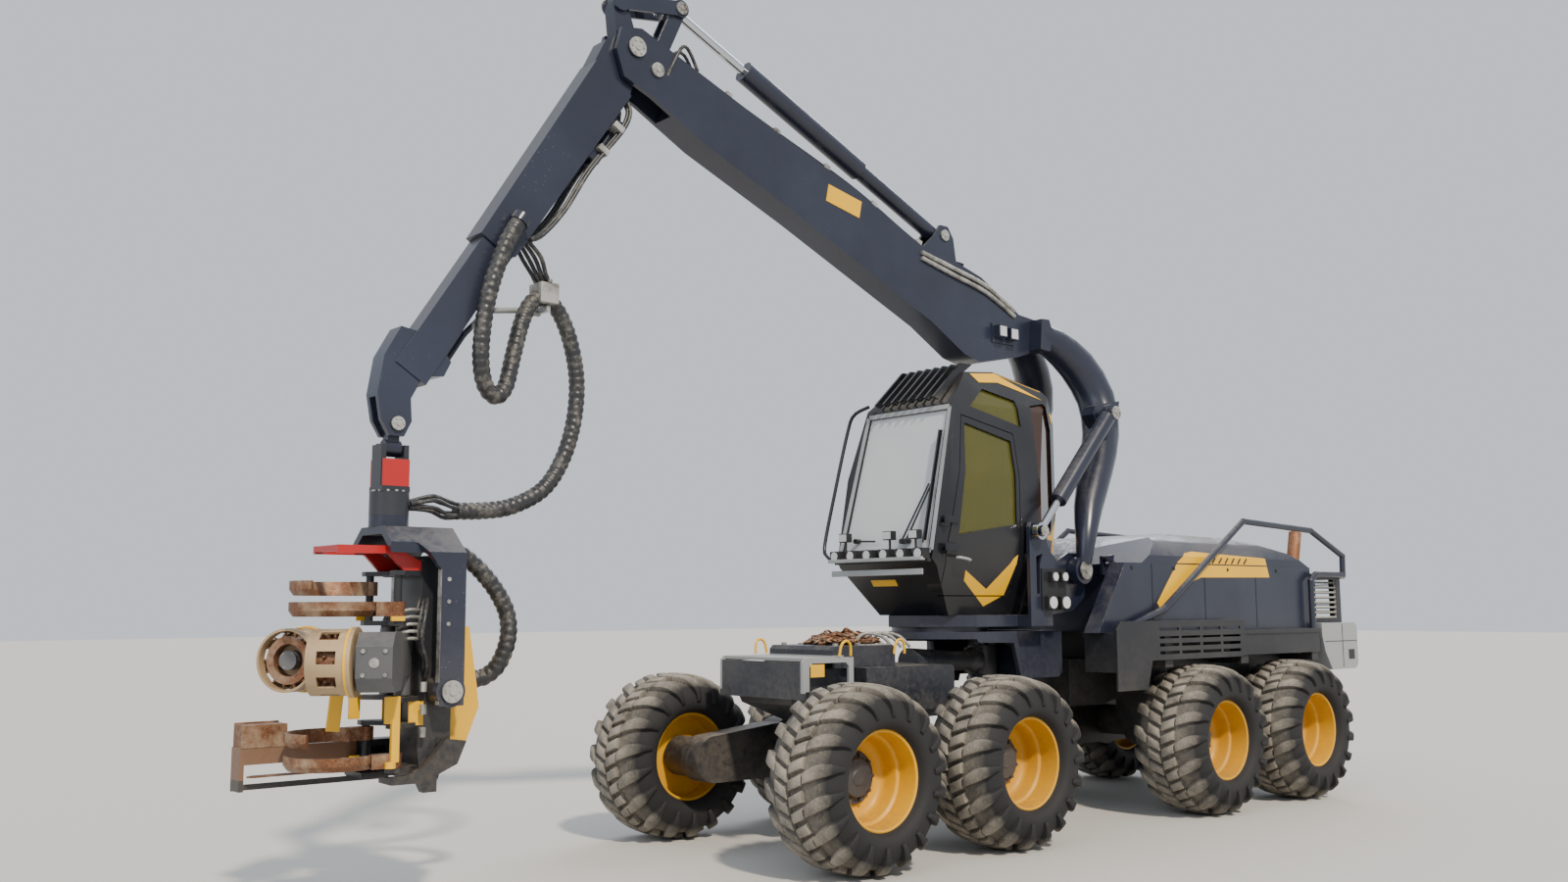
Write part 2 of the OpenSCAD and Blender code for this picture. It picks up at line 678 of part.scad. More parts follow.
// Turntable: plate on the slewing ring with the two crane brackets
swing_r = 940;
bracket_y0 = cab_half_w + 20;
bracket_y1 = 680;
module turntable() {
    color(black_paint) {
        difference() {
            union() {
                intersection() {
                    plate_z([
                        [slew_x - 1000, -520], [slew_x + 100, -520], [slew_x + 450, -180],
                        [slew_x + 450, 180], [slew_x + 100, 520], [slew_x - 1000, 520]
                    ], plate_z0, plate_z1 - plate_z0);
                    translate([slew_x, 0, plate_z0 - 1]) cylinder(r = swing_r, h = 102, $fn = 96);
                }
                both_sides() block([slew_x - 720, 500, plate_z0], [slew_x - 425, bracket_y1, plate_z1]);
            }
            translate([slew_x, 0, plate_z0 - 10]) cylinder(r = 200 + pin_gap, h = ring_h + 61);
        }
        both_sides() {
            difference() {
                plate_y([
                    cr(-425, plate_z1 - 50), cr(-700, plate_z1 - 50), cr(-720, plate_z1), cr(-1000,
                        plate_z1 + 30),
                    cr(-1170, 1950), cr(-1190, 2120), cr(-1190, 2270), cr(-1110, 2345), cr(-960, 2345),
                        cr(-800, 2270),
                    cr(-690, 2370), cr(-600, 2600), cr(-450, 2600), cr(-425, 2560)
                ], (bracket_y0 + bracket_y1) / 2, bracket_y1 - bracket_y0);
                plate_y([cr(-510, 1980), cr(-550, 1980), cr(-560, 2240), cr(-600, 2330), cr(-510,
                    2300)], bracket_y0, 200);
            }
            bar_y(fork_pin, 60, bracket_y1 - 1, fork_y + 60);
            bar_y(fork_pin, 100, bracket_y1 - 1, fork_y - 45 - slide_gap);
            bar_y(lift_base, 30, bracket_y1 - 1, lift_y + 50);
        }
    }
}

// Cab: three outlines crossed, in side view, front view and plan
CAB_SIDE = [
    cr(330, plate_z1 + seat), cr(690, 2270), cr(340, 3620), cr(40, 3910), cr(-350, 3950),
    cr(-950, 3830), cr(-1260, 3560), cr(-1270, 2750), cr(-1020, 2250), cr(-930, plate_z1 + seat)
];
CAB_FRONT = [
    [390, plate_z1 - 40], [590, 2240], [cab_half_w, 2500], [cab_half_w, 3000], [520, 3620], [360, 3960],
    [-360, 3960], [-520, 3620], [-cab_half_w, 3000], [-cab_half_w, 2500], [-590, 2240], [-390, plate_z1
        - 40]
];
CAB_PLAN = [
    [slew_x + 710, 560], [slew_x + 500, cab_half_w], [slew_x - 700, cab_half_w], [slew_x - 1280, 300],
    [slew_x - 1280, -300], [slew_x - 700, -cab_half_w], [slew_x + 500, -cab_half_w], [slew_x + 710, -560]
];
module cab_solid(t) {
    intersection() {
        plate_y(inset(CAB_SIDE, t), 0, 1600);
        plate_x(inset(CAB_FRONT, t), slew_x - 1400, 2400);
        plate_z(inset(CAB_PLAN, t), 1700, 2400);
    }
}
module cab_walls() {
    difference() {
        cab_solid(0);
        cab_solid(wall_t);
    }
}
DOOR = [cr(520, 1960), cr(560, 2330), cr(270, 3500), cr(-385, 3380), cr(-385, 2020), cr(-320, 1960)];
DOOR_HINGES = [2330, 2560];
DOOR_PANE = [cr(410, 2470), cr(240, 3430), cr(-335, 3310), cr(-335, 2580)];
SIDE_PANES = [
    [cr(150, 3585), cr(-110, 3765), cr(-500, 3690), cr(-510, 3450)],
    [cr(-620, 2560), cr(-690, 3660), cr(-900, 3700), cr(-1110, 3480), cr(-1130, 2760), cr(-1000, 2540)]
];
SCREEN = [[-510, 2360], [510, 2360], [465, 3540], [-465, 3540]];
REAR_PANE = [[-240, 2800], [240, 2800], [240, 3500], [-240, 3500]];
module door_region(gap) {
    plate_y(inset(DOOR, gap), 700, 700);
}
// Cuts for the fixed panes, smaller by gap all round
module pane_cuts(gap) {
    plate_x(inset(SCREEN, gap), slew_x + 250, 600);
    plate_x(inset(REAR_PANE, gap), slew_x - 1500, 400);
    for (p = SIDE_PANES) for (y = [-700, 700]) plate_y(inset(p, gap), y, 700);
    plate_y(inset(DOOR_PANE, gap), -700, 700);
}
module cab_shell() {
    color(black_paint) {
        difference() {
            cab_walls();
            pane_cuts(0);
            door_region(0);
        }
        // Seat box on the floor
        block([slew_x - 500, -200, plate_z1 + wall_t - 1], [slew_x - 50, 200, plate_z1 + wall_t + 260]);
        // Hinge pins in front of the door
        for (z = DOOR_HINGES) {
            translate([slew_x + 590, cab_half_w + 28, z - 5]) cylinder(r = 10, h = 70, $fn = 24);
            block([slew_x + 572, 560, z - 24], [slew_x + 603, cab_half_w + 40, z]);
        }
        // Ribbed visor over the windscreen
        for (i = [0:7])
            plate_y([cr(350, 3640), cr(415, 3660), cr(60, 3990), cr(-90, 3990), cr(40, 3900)], -350
                + i * 100, 24);
    }
}
module pane_layer() {
    difference() {
        cab_solid(wall_t / 2 - pane_t / 2);
        cab_solid(wall_t / 2 + pane_t / 2);
    }
}
module cab_glass() {
    color(glass_tint, 0.4) intersection() {
        pane_layer();
        pane_cuts(seat);
    }
}
module cab_door() {
    color(black_paint) {
        difference() {
            intersection() {
                cab_walls();
                door_region(door_gap);
            }
            plate_y(DOOR_PANE, 700, 700);
        }
        for (z = DOOR_HINGES) difference() {
            union() {
                translate([slew_x + 590, cab_half_w + 28, z + 2]) cylinder(r = 19, h = 60, $fn = 24);
                block([slew_x + 420, cab_half_w + 8, z + 2], [slew_x + 590, cab_half_w + 24, z + 62]);
                block([slew_x + 420, cab_half_w - 20, z + 2], [slew_x + 470, cab_half_w + 10, z + 62]);
            }
            translate([slew_x + 590, cab_half_w + 28, z]) cylinder(r = 10 + pin_gap, h = 80, $fn = 24);
        }
    }
}
module door_glass() {
    color(glass_tint, 0.4) intersection() {
        pane_layer();
        plate_y(inset(DOOR_PANE, seat), 700, 700);
    }
}
module operator_seat() {
    z = plate_z1 + wall_t + 260 + seat;
    x = slew_x - 300;
    color("#33343a") {
        block([x - 120, -150, z], [x + 120, 150, z + 120]);
        block([x - 240, -240, z + 119], [x + 260, 240, z + 230]);
        translate([x - 240, 0, z + 229]) rotate([0, -12, 0]) block([-60, -230, -20], [60, 230, 620]);
        both_sides() {
            block([x - 200, 239, z + 150], [x - 120, 270, z + 380]);
            block([x - 200, 239, z + 360], [x + 260, 330, z + 400]);
            translate([x + 220, 285, z + 399]) cylinder(r1 = 30, r2 = 20, h = 130, $fn = 24);
        }
    }
}
// Lamps: position, and the side that they look to
module lamp(at, size) {
    translate(at) translate(-size / 2) cube(size);
}
module work_lights() {
    color("#3a3c42") {
        block([slew_x + 690 + seat, -560, 2240], [slew_x + 730, 560, 2270]);
        for (i = [0:5])
            lamp([slew_x + 745, -500 + i * 200, 2310], [80, 120, 90]);
        both_sides() {
            block([slew_x - 900, bracket_y1 + seat, 1840], [slew_x - 565, bracket_y1 + 15, 2200]);
            for (i = [0:1]) {
                lamp([slew_x - 640 - i * 180, bracket_y1 + 40, 1905], [120, 60, 110]);
                lamp([slew_x - 680 - i * 135, bracket_y1 + 40, 2130], [90, 60, 85]);
            }
        }
    }
}

// Main boom: box section, with two tubes that part behind the cab and come down to the fork pins
BOOM = [
    cr(-1290, 4285), cr(-1000, 4195), cr(-470, 4085), cr(-250, 4135), cr(170, 4375), cr(900, 4690),
        cr(1710, 5040),
    cr(2700, 5440), cr(3200, 5700), cr(3460, 5800), cr(3530, 6000), cr(3480, 6180), cr(3300, 6210),
        cr(2880, 6050), cr(2055, 5735),
    cr(1090, 5400), cr(250, 5030), cr(-200, 4960), cr(-495, 4880), cr(-1025, 4600), cr(-1290, 4575)
];
// Fork tube: reach, sideways, height, radius
FORK = [
    [-1240, 160, 4425, 125], [-1450, 195, 4360, neck_r - 25], [-1690, 275, 4170, neck_r - 4],
    [-1850, 370, 3850, neck_r], [-1760, 480, 3480, neck_r - 8], [-1510, 590, 3110, neck_r - 24],
    [-1250, 690, 2750, neck_r - 52], [-1095, 770, 2460, 90], [-1060, fork_y + 22, 2250, 68]
];
tip_fork_in = 96;
module boom() {
    color(black_paint) {
        difference() {
            union() {
                plate_y(BOOM, 0, boom_w);
                // Cross block that joins the two tubes to the boom's root
                plate_y([cr(-1180, 4560), cr(-1150, 4270), cr(-1290, 4260), cr(-1360, 4400), cr(-1290,
                    4565)], 0, 560);
                both_sides() {
                    sweep([for (p = route([for (f = FORK) [slew_x + f[0], f[1], f[2]]], 2)) p],
                        [for (r = route([for (f = FORK) [f[3], 0]], 2)) r[0]], 14);
                    bar_y(fork_pin, 120, fork_y - 45, fork_y + 45);
                    // Lug of the lift cylinder
                    plate_y([
                        cr(-1870, 3800), cr(-1640, 3760), cr(-1490, 3720), cr(-1455, 3640), cr(-1500, 3560),
                        cr(-1640, 3480), cr(-1800, 3420)
                    ], 560, 130);
                    bar_y(lift_top, 40, 530, lift_y + 75);
                }
                // Bracket of the jib cylinder on the boom's root
                both_sides() plate_y([
                    cr(-200, 4940), cr(-160, 5190), cr(-90, 5290), cr(10, 5290), cr(80, 5190), cr(300, 4990)
                ], 90, 30);
            }
            // Slot of the elbow, open at the end, for the jib's lug and the rocker
            plate_y([cr(3000, 5600), cr(3700, 5600), cr(3700, 6400), cr(2600, 6400), cr(2660, 5960),
                cr(2900, 5860)], 0, 2 * tip_fork_in);
            both_sides() bar_y(fork_pin, 60 + pin_gap, fork_y - 60, fork_y + 60);
        }
        bar_y(jib_pin, 55, -boom_w / 2 - 10, boom_w / 2 + 10);
        bar_y(rocker_pin, 40, -boom_w / 2 - 5, boom_w / 2 + 5);
        bar_y(jib_cyl_base, 35, -110, 110);
    }
    // Lamps on the left side of the root
    color("#3a3c42") {
        block([slew_x - 930, boom_w / 2 - 1, 4290], [slew_x - 620, boom_w / 2 + 14, 4470]);
        for (i = [0:1]) lamp([slew_x - 690 - i * 160, boom_w / 2 + 48, 4390 - i * 10], [110, 80, 110]);
    }
}

// Lift cylinders: barrels pinned at the forks, rods down to the turntable brackets
lift_len = span(lift_top, lift_base);
module lift_barrels() {
    color(black_paint) for (y = [-lift_y, lift_y]) difference() {
        union() {
            bar_y(lift_top, 84, y - 28, y + 28);
            along(lift_top, lift_base, y) translate([50, 0, 0]) rotate([0, 90, 0]) cylinder(r = lift_r,
                h = lift_len - 430);
        }
        bar_y(lift_top, 40 + pin_gap, y - 60, y + 60);
        along(lift_top, lift_base, y) translate([140, 0, 0]) rotate([0, 90, 0]) cylinder(r = 34
            + pin_gap, h = lift_len);
    }
}
module lift_rods() {
    color(chrome) for (y = [-lift_y, lift_y]) difference() {
        union() {
            along(lift_top, lift_base, y) translate([300, 0, 0]) rotate([0, 90, 0]) cylinder(r = 34,
                h = lift_len - 340);
            bar_y(lift_base, 75, y - 26, y + 26);
        }
        bar_y(lift_base, 50, y - 60, y + 60);
    }
}

// Jib cylinder on top of the boom
jib_len = span(jib_cyl_base, rocker_top);
jib_rod_r = 38;
// Layers of the elbow from the middle outwards: rod, rocker plates, link plates, boom cheeks
rocker_in = jib_rod_r + slide_gap;
rocker_out = rocker_in + 22;
link_in = rocker_out + 3;
link_out = link_in + 22;
module jib_barrel() {
    color(black_paint) difference() {
        union() {
            bar_y(jib_cyl_base, 70, -65, 65);
            along(jib_cyl_base, rocker_top) {
                translate([40, 0, 0]) rotate([0, 90, 0]) cylinder(r = jib_cyl_back_r - 1, h = 1060);
                translate([1060, 0, 0]) rotate([0, 90, 0]) cylinder(r = jib_cyl_r, h = 1400);
            }
        }
        bar_y(jib_cyl_base, 35 + pin_gap, -80, 80);
        along(jib_cyl_base, rocker_top) translate([150, 0, 0]) rotate([0, 90,
            0]) cylinder(r = jib_rod_r + pin_gap, h = jib_len);
    }
}
module jib_rod() {
    color(chrome) {
        along(jib_cyl_base, rocker_top) translate([1100, 0, 0]) rotate([0, 90,
            0]) cylinder(r = jib_rod_r, h = jib_len - 1150);
        bar_y(rocker_top, 75, -jib_rod_r - 2, jib_rod_r + 2);
    }
}
// Rocker: two plates on the boom's pin, outside the rod's eye
module rocker() {
    color(black_paint) {
        both_sides() difference() {
            union() {
                plate_y(bar_outline(rocker_pin, rocker_top, 62), (rocker_in + rocker_out) / 2,
                    rocker_out - rocker_in);
                bar_y(rocker_pin, 80, rocker_in, rocker_out);
                bar_y(rocker_top, 75, rocker_in, rocker_out);
            }
            bar_y(rocker_pin, 40 + pin_gap, 0, 100);
        }
        // Boss that joins the two plates round the boom's pin
        difference() {
            bar_y(rocker_pin, 60, -rocker_in - 1, rocker_in + 1);
            bar_y(rocker_pin, 40 + pin_gap, -80, 80);
        }
        both_sides() bar_y(rocker_top, 34, rocker_out - 1, link_out + 2);
    }
}
module rocker_link() {
    color(black_paint) both_sides() {
        difference() {
            union() {
                bar_y(rocker_top, 70, link_in, link_out);
                bar_y(link_end, 70, link_in, link_out);
                plate_y(bar_outline(rocker_top, link_end, 58), (link_in + link_out) / 2, link_out
                    - link_in);
            }
            bar_y(rocker_top, 34 + pin_gap, 40, 120);
        }
    }
    color(black_paint) plate_y(bar_outline(link_mid + [-10, 40], link_mid + [70, 40], 16), 0,
        2 * link_in + 2);
}

// Jib: lug at the elbow, box section and the inner telescope
hose_u = 1836;
hose_y = 175;
jib_dir = unit([tip_pin[0] - 60, tip_pin[1] + 300] - jib_pin);
jib_ang = atan2(jib_dir[1], jib_dir[0]);
box_len = 2050;
box_start = 330;
box_h = 330;
ext_w = jib_w - 2 * jib_wall - 2;
ext_h = 250;
module on_jib() {
    translate([jib_pin[0], 0, jib_pin[1]]) rotate([0, -jib_ang, 0]) children();
}
module jib() {
    color(black_paint) {
        difference() {
            on_jib() union() {
                plate_y([
                    [box_start, -box_h / 2 - 20], [box_len - 40, -box_h / 2 + 25], [box_len, -box_h / 2
                        + 60],
                    [box_len, box_h / 2 - 10], [box_start, box_h / 2 + 20]
                ], 0, jib_w);
                plate_y([
                    [-40, -110], [95, -112], [box_start + 5, -box_h / 2 - 20], [box_start + 5,
                        box_h / 2 + 20],
                    [120, 210], [-60, 120], [-100, 20], [-95, -65]
                ], 0, 170);
            }
            bar_y(jib_pin, 55 + pin_gap, -200, 200);
            on_jib() block([box_start + 40, -ext_w / 2 - 1, -ext_h / 2 - 1], [box_len + 50, ext_w / 2
                + 1, ext_h / 2 + 1]);
        }
        // Horn up to the link
        difference() {
            plate_y([
                jib_pin + [-60, 80], jib_pin + [130, 60], link_end + [60, -20], link_end + [30, 65],
                    link_end + [-50, 40]
            ], 0, 2 * link_in - 10);
            bar_y(jib_pin, 55 + pin_gap, -200, 200);
        }
        // Hose fitting on the box's left side
        on_jib() {
            translate([hose_u - 60, hose_y, 0]) rotate([0, 90, 0]) cylinder(r = 68, h = 60);
            block([hose_u - 60, jib_w / 2 - 5, -40], [hose_u, hose_y, 40]);
        }
    }
}

// Extension: inner box, with the tip bracket and the hose guide rod
ext_back = 1300;
module on_tip(u, v) {
    translate([jib_pin[0] + jib_dir[0] * u - jib_dir[1] * v, 0, jib_pin[1] + jib_dir[1] * u
        + jib_dir[0] * v]) children();
}
module extension() {
    len_to_tip = span(jib_pin, [tip_pin[0] - 60, tip_pin[1] + 300]);
    color(black_paint) {
        on_jib() block([ext_back, -ext_w / 2, -ext_h / 2], [len_to_tip - 40, ext_w / 2, ext_h / 2]);
        difference() {
            plate_y([
                cr(4900, 3660), cr(5140, 3700), cr(5250, 3500), cr(5290, 3250), cr(5260, 3080), cr(5200,
                    2980),
                cr(5100, 2980), cr(5050, 3080), cr(5060, 3230), cr(4980, 3380), cr(4830, 3400), cr(4780,
                    3500)
            ], 0, 170);
            plate_y([cr(5000, 2900), cr(5400, 2900), cr(5400, 3230), cr(5000, 3230)], 0, 90);
        }
        bar_y(tip_pin, 28, -95, 95);
    }
    // Guide rod and hose clamp
    color(light_grey) {
        bent_tube([
            [slew_x + 4840, -60, 3490], [slew_x + 4740, -97, 3520], [slew_x + 4600, -97, 3740], [slew_x
                + 4420, -97, 3930],
            [slew_x + 4200, -97, 3962], [slew_x + 4010, -97, 3962]
        ], 22);
        block([slew_x + 4005, -110, 3955], [slew_x + 4035, 45, 3998]);
    }
}

// Crane tip: link that swings fore and aft, then the rotator that swings sideways
module tip_link() {
    color(black_paint) difference() {
        union() {
            bar_y(tip_pin, 62, -40, 40);
            block([rotator_x - 40, -40, sway_z], [rotator_x + 40, 40, tip_pin[1]]);
            bar_x(rotator_x - 55, rotator_x + 55, 0, sway_z, 55);
        }
        bar_y(tip_pin, 28 + pin_gap, -60, 60);
        bar_x(rotator_x - 90, rotator_x + 90, 0, sway_z, 26 + pin_gap);
    }
}
module rotator() {
    color(red_paint) {
        for (s = [-1, 1])
            block([rotator_x + s * 78 - 17, -70, 2650], [rotator_x + s * 78 + 17, 70, sway_z + 20]);
        bar_x(rotator_x - 95, rotator_x + 95, 0, sway_z, 26);
        both_sides() block([rotator_x - 90, 75, 2650], [rotator_x + 90, 95, 2830]);
        block([rotator_x - 95, -95, 2620], [rotator_x + 95, 95, 2655]);
    }
    color(black_paint) translate([rotator_x, 0, rotor_z + seat]) difference() {
        cylinder(r = 125, h = 2621 - rotor_z - seat);
        translate([0, 0, -1]) cylinder(r = 50 + pin_gap, h = 101);
    }
}

// Tilt frame: rotor flange, bridge and two long arms down to the tilt pins
module tilt_frame() {
    color(black_paint) {
        translate([rotator_x, 0, 2395]) cylinder(r = 125, h = rotor_z - 2395);
        translate([rotator_x, 0, rotor_z - 1]) cylinder(r = 50, h = 95);
        difference() {
            plate_x([
                [-yoke_half_w, 1270], [-yoke_half_w, 2230], [-160, 2396], [160, 2396], [yoke_half_w,
                    2230], [yoke_half_w, 1270],
                [yoke_half_w - yoke_t, 1270], [yoke_half_w - yoke_t, 2205], [140, 2345], [-140, 2345],
                [-yoke_half_w + yoke_t, 2205], [-yoke_half_w + yoke_t, 1270]
            ], slew_x + 4780, 480);
            both_sides() plate_y([
                cr(4950, 1200), cr(4950, 2120), cr(5080, 2285), cr(5400, 2330), cr(5400, 1200)
            ], yoke_half_w, 3 * yoke_t);
        }
        both_sides() {
            bar_y(tilt_pin, 100, yoke_half_w - yoke_t, yoke_half_w);
            bar_y(tilt_pin, 40, yoke_half_w - yoke_t - 60, yoke_half_w + 15);
        }
    }
}

// Head frame: spine, fixed guards, saw box and rear cover
spine_w = 2 * (yoke_half_w - yoke_t - 10);
module head_frame() {
    color(dark_paint) {
        difference() {
            plate_y([
                cr(4780, 1050), cr(4860, 805), cr(4980, 805), cr(5005, 1000), cr(5005, 1850), cr(4990,
                    2190), cr(4880, 2220),
                cr(4800, 2130), cr(4780, 1900)
            ], 0, 380);
            both_sides() bar_y(tilt_pin, 40 + pin_gap, 100, 400);
        }
        both_sides() difference() {
            bar_y(tilt_pin, 95, 189, spine_w / 2);
            bar_y(tilt_pin, 40 + pin_gap, 100, 400);
        }
        // Shelves that hold the knife pins and the feed arms' pins
        for (z = [872, 1140, 1300, 1770, 2085])
            plate_z([
                [slew_x + 4990, -180], [knife_pin_x - 20, -255], [knife_pin_x + 40, -245], [knife_pin_x
                    + 45, -180],
                [knife_pin_x - 50, -60], [knife_pin_x - 50, 60], [knife_pin_x + 45, 180], [knife_pin_x
                    + 40, 245],
                [knife_pin_x - 20, 255], [slew_x + 4990, 180]
            ], z, 30);
        both_sides() {
            translate([knife_pin_x, knife_pin_y, 880]) cylinder(r = 25, h = 1145 - 880, $fn = 32);
            translate([knife_pin_x, knife_pin_y, 1775]) cylinder(r = 25, h = 2090 - 1775, $fn = 32);
            translate([feed_pin_x, feed_pin_y, 1325]) cylinder(r = 25, h = 1775 - 1325, $fn = 32);
            // Web behind the feed arms' shelves
            block([slew_x + 4990, 60, 1140], [slew_x + 5020, 180, 1310]);
        }
    }
    // Fixed top knife and its guard
    color(red_paint) {
        both_sides() plate_y([
            cr(4960, 2080), cr(5090, 2080), cr(5230, 2220), cr(5560, 2220), cr(5560, 2270), cr(5200,
                2270), cr(4960, 2150)
        ], 175, 30);
        block([slew_x + 5190, -176, 2235], [slew_x + 5300, 176, 2269]);
        block([slew_x + 5520, -189, 2232], [slew_x + 5560, 189, 2269]);
    }
    // Rear cover over the hose inlets
    color(yellow_paint) plate_y([
        cr(4800, 1000), cr(4800, 1760), cr(4640, 1760), cr(4580, 1400), cr(4560, 1240), cr(4660, 990)
    ], 0, 300);
    // Saw box at the right side and its skid
    color(worn_steel) {
        difference() {
            block([slew_x + 5180, -440, 930], [slew_x + 5930, -300, 1035]);
            block([slew_x + 5200, -420, 929], [slew_x + 5910, -320, 1020]);
        }
        block([slew_x + 5900, -440, 770], [slew_x + 5930, -300, 935]);
    }
    color(dark_paint) {
        block([slew_x + 4900, -440, saw_z - 36], [slew_x + 5200, -180, saw_z - 6]);
        block([slew_x + 4900, -440, saw_z - 36], [slew_x + 4980, -300, 1035]);
        block([slew_x + 4960, -440, 990], [slew_x + 5190, -300, 1035]);
        translate([slew_x + 5060, -370, saw_z - 7]) cylinder(r = 15, h = 1000 - saw_z, $fn = 32);
        block([slew_x + 5180, -440, 765], [slew_x + 5929, -425, 800]);
        block([slew_x + 4900, -440, 765], [slew_x + 5190, -425, 1000]);
        // Bottom arm and heel at the left side
        plate_y([
            cr(5260, 820), cr(5200, 800), cr(5020, 800), cr(4990, 740), cr(4900, 740), cr(4900, 840),
                cr(4760, 900),
            cr(4700, 1040), cr(4840, 1060), cr(4970, 900), cr(5100, 850), cr(5260, 850)
        ], 230, 60);
    }
}

// Feed arm: hinge barrel, link, eight-sided motor housing and the roller's shaft
feed_x = slew_x + 5600;
module on_feed() {
    translate([feed_x, roller_y, feed_z]) rotate([0, 0, -feed_turn]) children();
}
module feed_arm(s) {
    back = -roller_l / 2;
    color(dark_paint) mirror([0, s < 0 ? 1 : 0, 0]) difference() {
        union() {
            translate([feed_pin_x, feed_pin_y, 1336]) cylinder(r = 52, h = 428);
            plate_z(bar_outline([feed_pin_x, feed_pin_y], [slew_x + 5300, 415], 50), 1460, 260);
            on_feed() {
                plate_x([
                    [-165, -90], [-95, -175], [95, -175], [165, -90], [165, 95], [95, 178], [-95, 178],
                        [-165, 95]
                ], back - 240, 215);
                bar_x(back - 30, back - slide_gap, 0, 0, 130);
                bar_x(back - 10, -back - 30, 0, 0, 60);
            }
        }
        translate([feed_pin_x, feed_pin_y, 1330]) cylinder(r = 25 + pin_gap, h = 440);
    }
}
// Feed roller: drum with windows, open at the front, with a flange and a hub at the rear
module feed_roller(s) {
    color(worn_steel) mirror([0, s < 0 ? 1 : 0, 0]) on_feed() translate([-roller_l / 2, 0,
        0]) rotate([0, 90, 0]) difference() {
        union() {
            difference() {
                union() {
                    cylinder(r = roller_r - 12, h = roller_l);
                    cylinder(r = roller_r, h = 24);
                }
                translate([0, 0, 24]) cylinder(r = roller_r - 28, h = roller_l);
                for (i = [0:7]) rotate([0, 0, i * 45 + 10]) translate([roller_r - 60, -38,
                    85]) cube([80, 76, 110]);
            }
            cylinder(r = 100, h = 150);
        }
        translate([0, 0, -1]) cylinder(r = 60 + pin_gap, h = roller_l);
    }
}

// Delimbing knife: hub on its pin, arm and a curved blade round the trunk
module knife(s, z0, h) {
    blade_out = knife_r + 45;
    color(worn_steel) mirror([0, s < 0 ? 1 : 0, 0]) difference() {
        union() {
            translate([knife_pin_x, knife_pin_y, z0]) cylinder(r = 50, h = h);
            translate([trunk_x, 0, z0]) rotate([0, 0, -35]) rotate_extrude(angle = 175, $fn = 64)
                polygon([[knife_r, 0], [knife_r + 20, 0], [blade_out, h * 0.4], [blade_out, h],
                    [knife_r + 25, h]]);
            plate_z([
                [knife_pin_x - 20, knife_pin_y - 40], [knife_pin_x + 20, knife_pin_y + 50],
                [trunk_x - 150, 250], [trunk_x - 180, 160]
            ], z0, h);
        }
        translate([knife_pin_x, knife_pin_y, z0 - 10]) cylinder(r = 25 + pin_gap, h = h + 20);
        // Only this side's half of the blade and a short crossing tip
        block([trunk_x - 400, -400, z0 - 5], [trunk_x + 100, -0, z0 + h + 5]);
    }
}
module saw_bar() {
    color(chrome) difference() {
        union() {
            plate_z([
                [slew_x + 5060, -405], [slew_x + 5820, -405], [slew_x + 5860, -370], [slew_x + 5820, -335],
                [slew_x + 5060, -335]
            ], saw_z, 10);
            translate([slew_x + 5060, -370, saw_z]) cylinder(r = 45, h = 60);
        }
        translate([slew_x + 5060, -370, saw_z - 5]) cylinder(r = 15 + pin_gap, h = 100, $fn = 32);
    }
}

// Free hoses. Each route lists reach, sideways and height
MAIN_ROUTE = [
    [4350, 175, 4504], [4378, 175, 4461], [4440, 174, 4345], [4520, 170, 4120], [4580, 162, 3860],
    [4600, 150, 3560], [4555, 130, 3370], [4460, 105, 3300], [4370, 80, 3380], [4300, 50, 3600],
    [4220, 20, 3850], [4130, -5, 4010], [4020, -10, 4060], [3900, -20, 3980], [3800, -20, 3780],
    [3740, -20, 3500], [3760, -20, 3200], [3850, -20, 2920], [4010, -10, 2700], [4260, 0, 2570],
    [4480, 0, 2530], [4680, 0, 2520]
];
HEAD_ROUTE = [
    [4830, 0, 2285], [4700, 20, 2260], [4560, 40, 2170], [4420, 60, 2020], [4330, 80, 1850], [4320, 90,
        1680],
    [4370, 60, 1510], [4450, 12, 1425], [4570, 0, 1410]
];
module main_hose() {
    p = route([for (q = MAIN_ROUTE) [slew_x + q[0], q[1], q[2]]], 2);
    color("#6d7076") sweep(p, [for (i = [0:len(p) - 1]) 60], 8);
}
module head_hose() {
    p = route([for (q = HEAD_ROUTE) [slew_x + q[0], q[1], q[2]]], 2);
    color("#6d7076") sweep(p, [for (i = [0:len(p) - 1]) 60], 8);
}

// Everything is drawn in machine coordinates and then moved to the part's own origin
module placed() {
    translate([-origin_x, 0, 0]) children();
}

for (w = WHEELS) {
    placed() tyre(w[0]);
    placed() rim(w[0]);
}
placed() front_frame();
placed() front_bogies();
placed() mid_frame();
placed() rear_frame();
placed() rear_bogies();
placed() engine();
placed() cowl();
placed() hood();
placed() body_panels();
placed() rear_grille();
placed() guard_rails();
placed() exhaust();
placed() turntable();
placed() cab_shell();
placed() cab_glass();
placed() operator_seat();
placed() work_lights();
placed() cab_door();
placed() door_glass();
placed() boom();
placed() lift_barrels();
placed() lift_rods();
placed() jib_barrel();
placed() jib_rod();
placed() rocker();
placed() rocker_link();
placed() jib();
placed() extension();
placed() tip_link();
placed() rotator();
placed() tilt_frame();
placed() head_frame();
placed() feed_arm(1);  // feed_arm_left
placed() feed_arm(-1);  // feed_arm_right
placed() feed_roller(1);  // feed_roller_left
placed() feed_roller(-1);  // feed_roller_right
placed() knife(1, 1830, 90);  // upper_knife_left
placed() knife(-1, 1960, 90);  // upper_knife_right
placed() knife(1, 905, 85);  // lower_knife_left
placed() knife(-1, 1045, 85);  // lower_knife_right
placed() saw_bar();
placed() main_hose();
placed() head_hose();
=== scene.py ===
# Forestry harvester on eight wheels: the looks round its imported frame.
# Everything is in metres in the part's own frame, with X forward and Z up.
import math

import bmesh
import bpy
from mathutils import Matrix, Vector


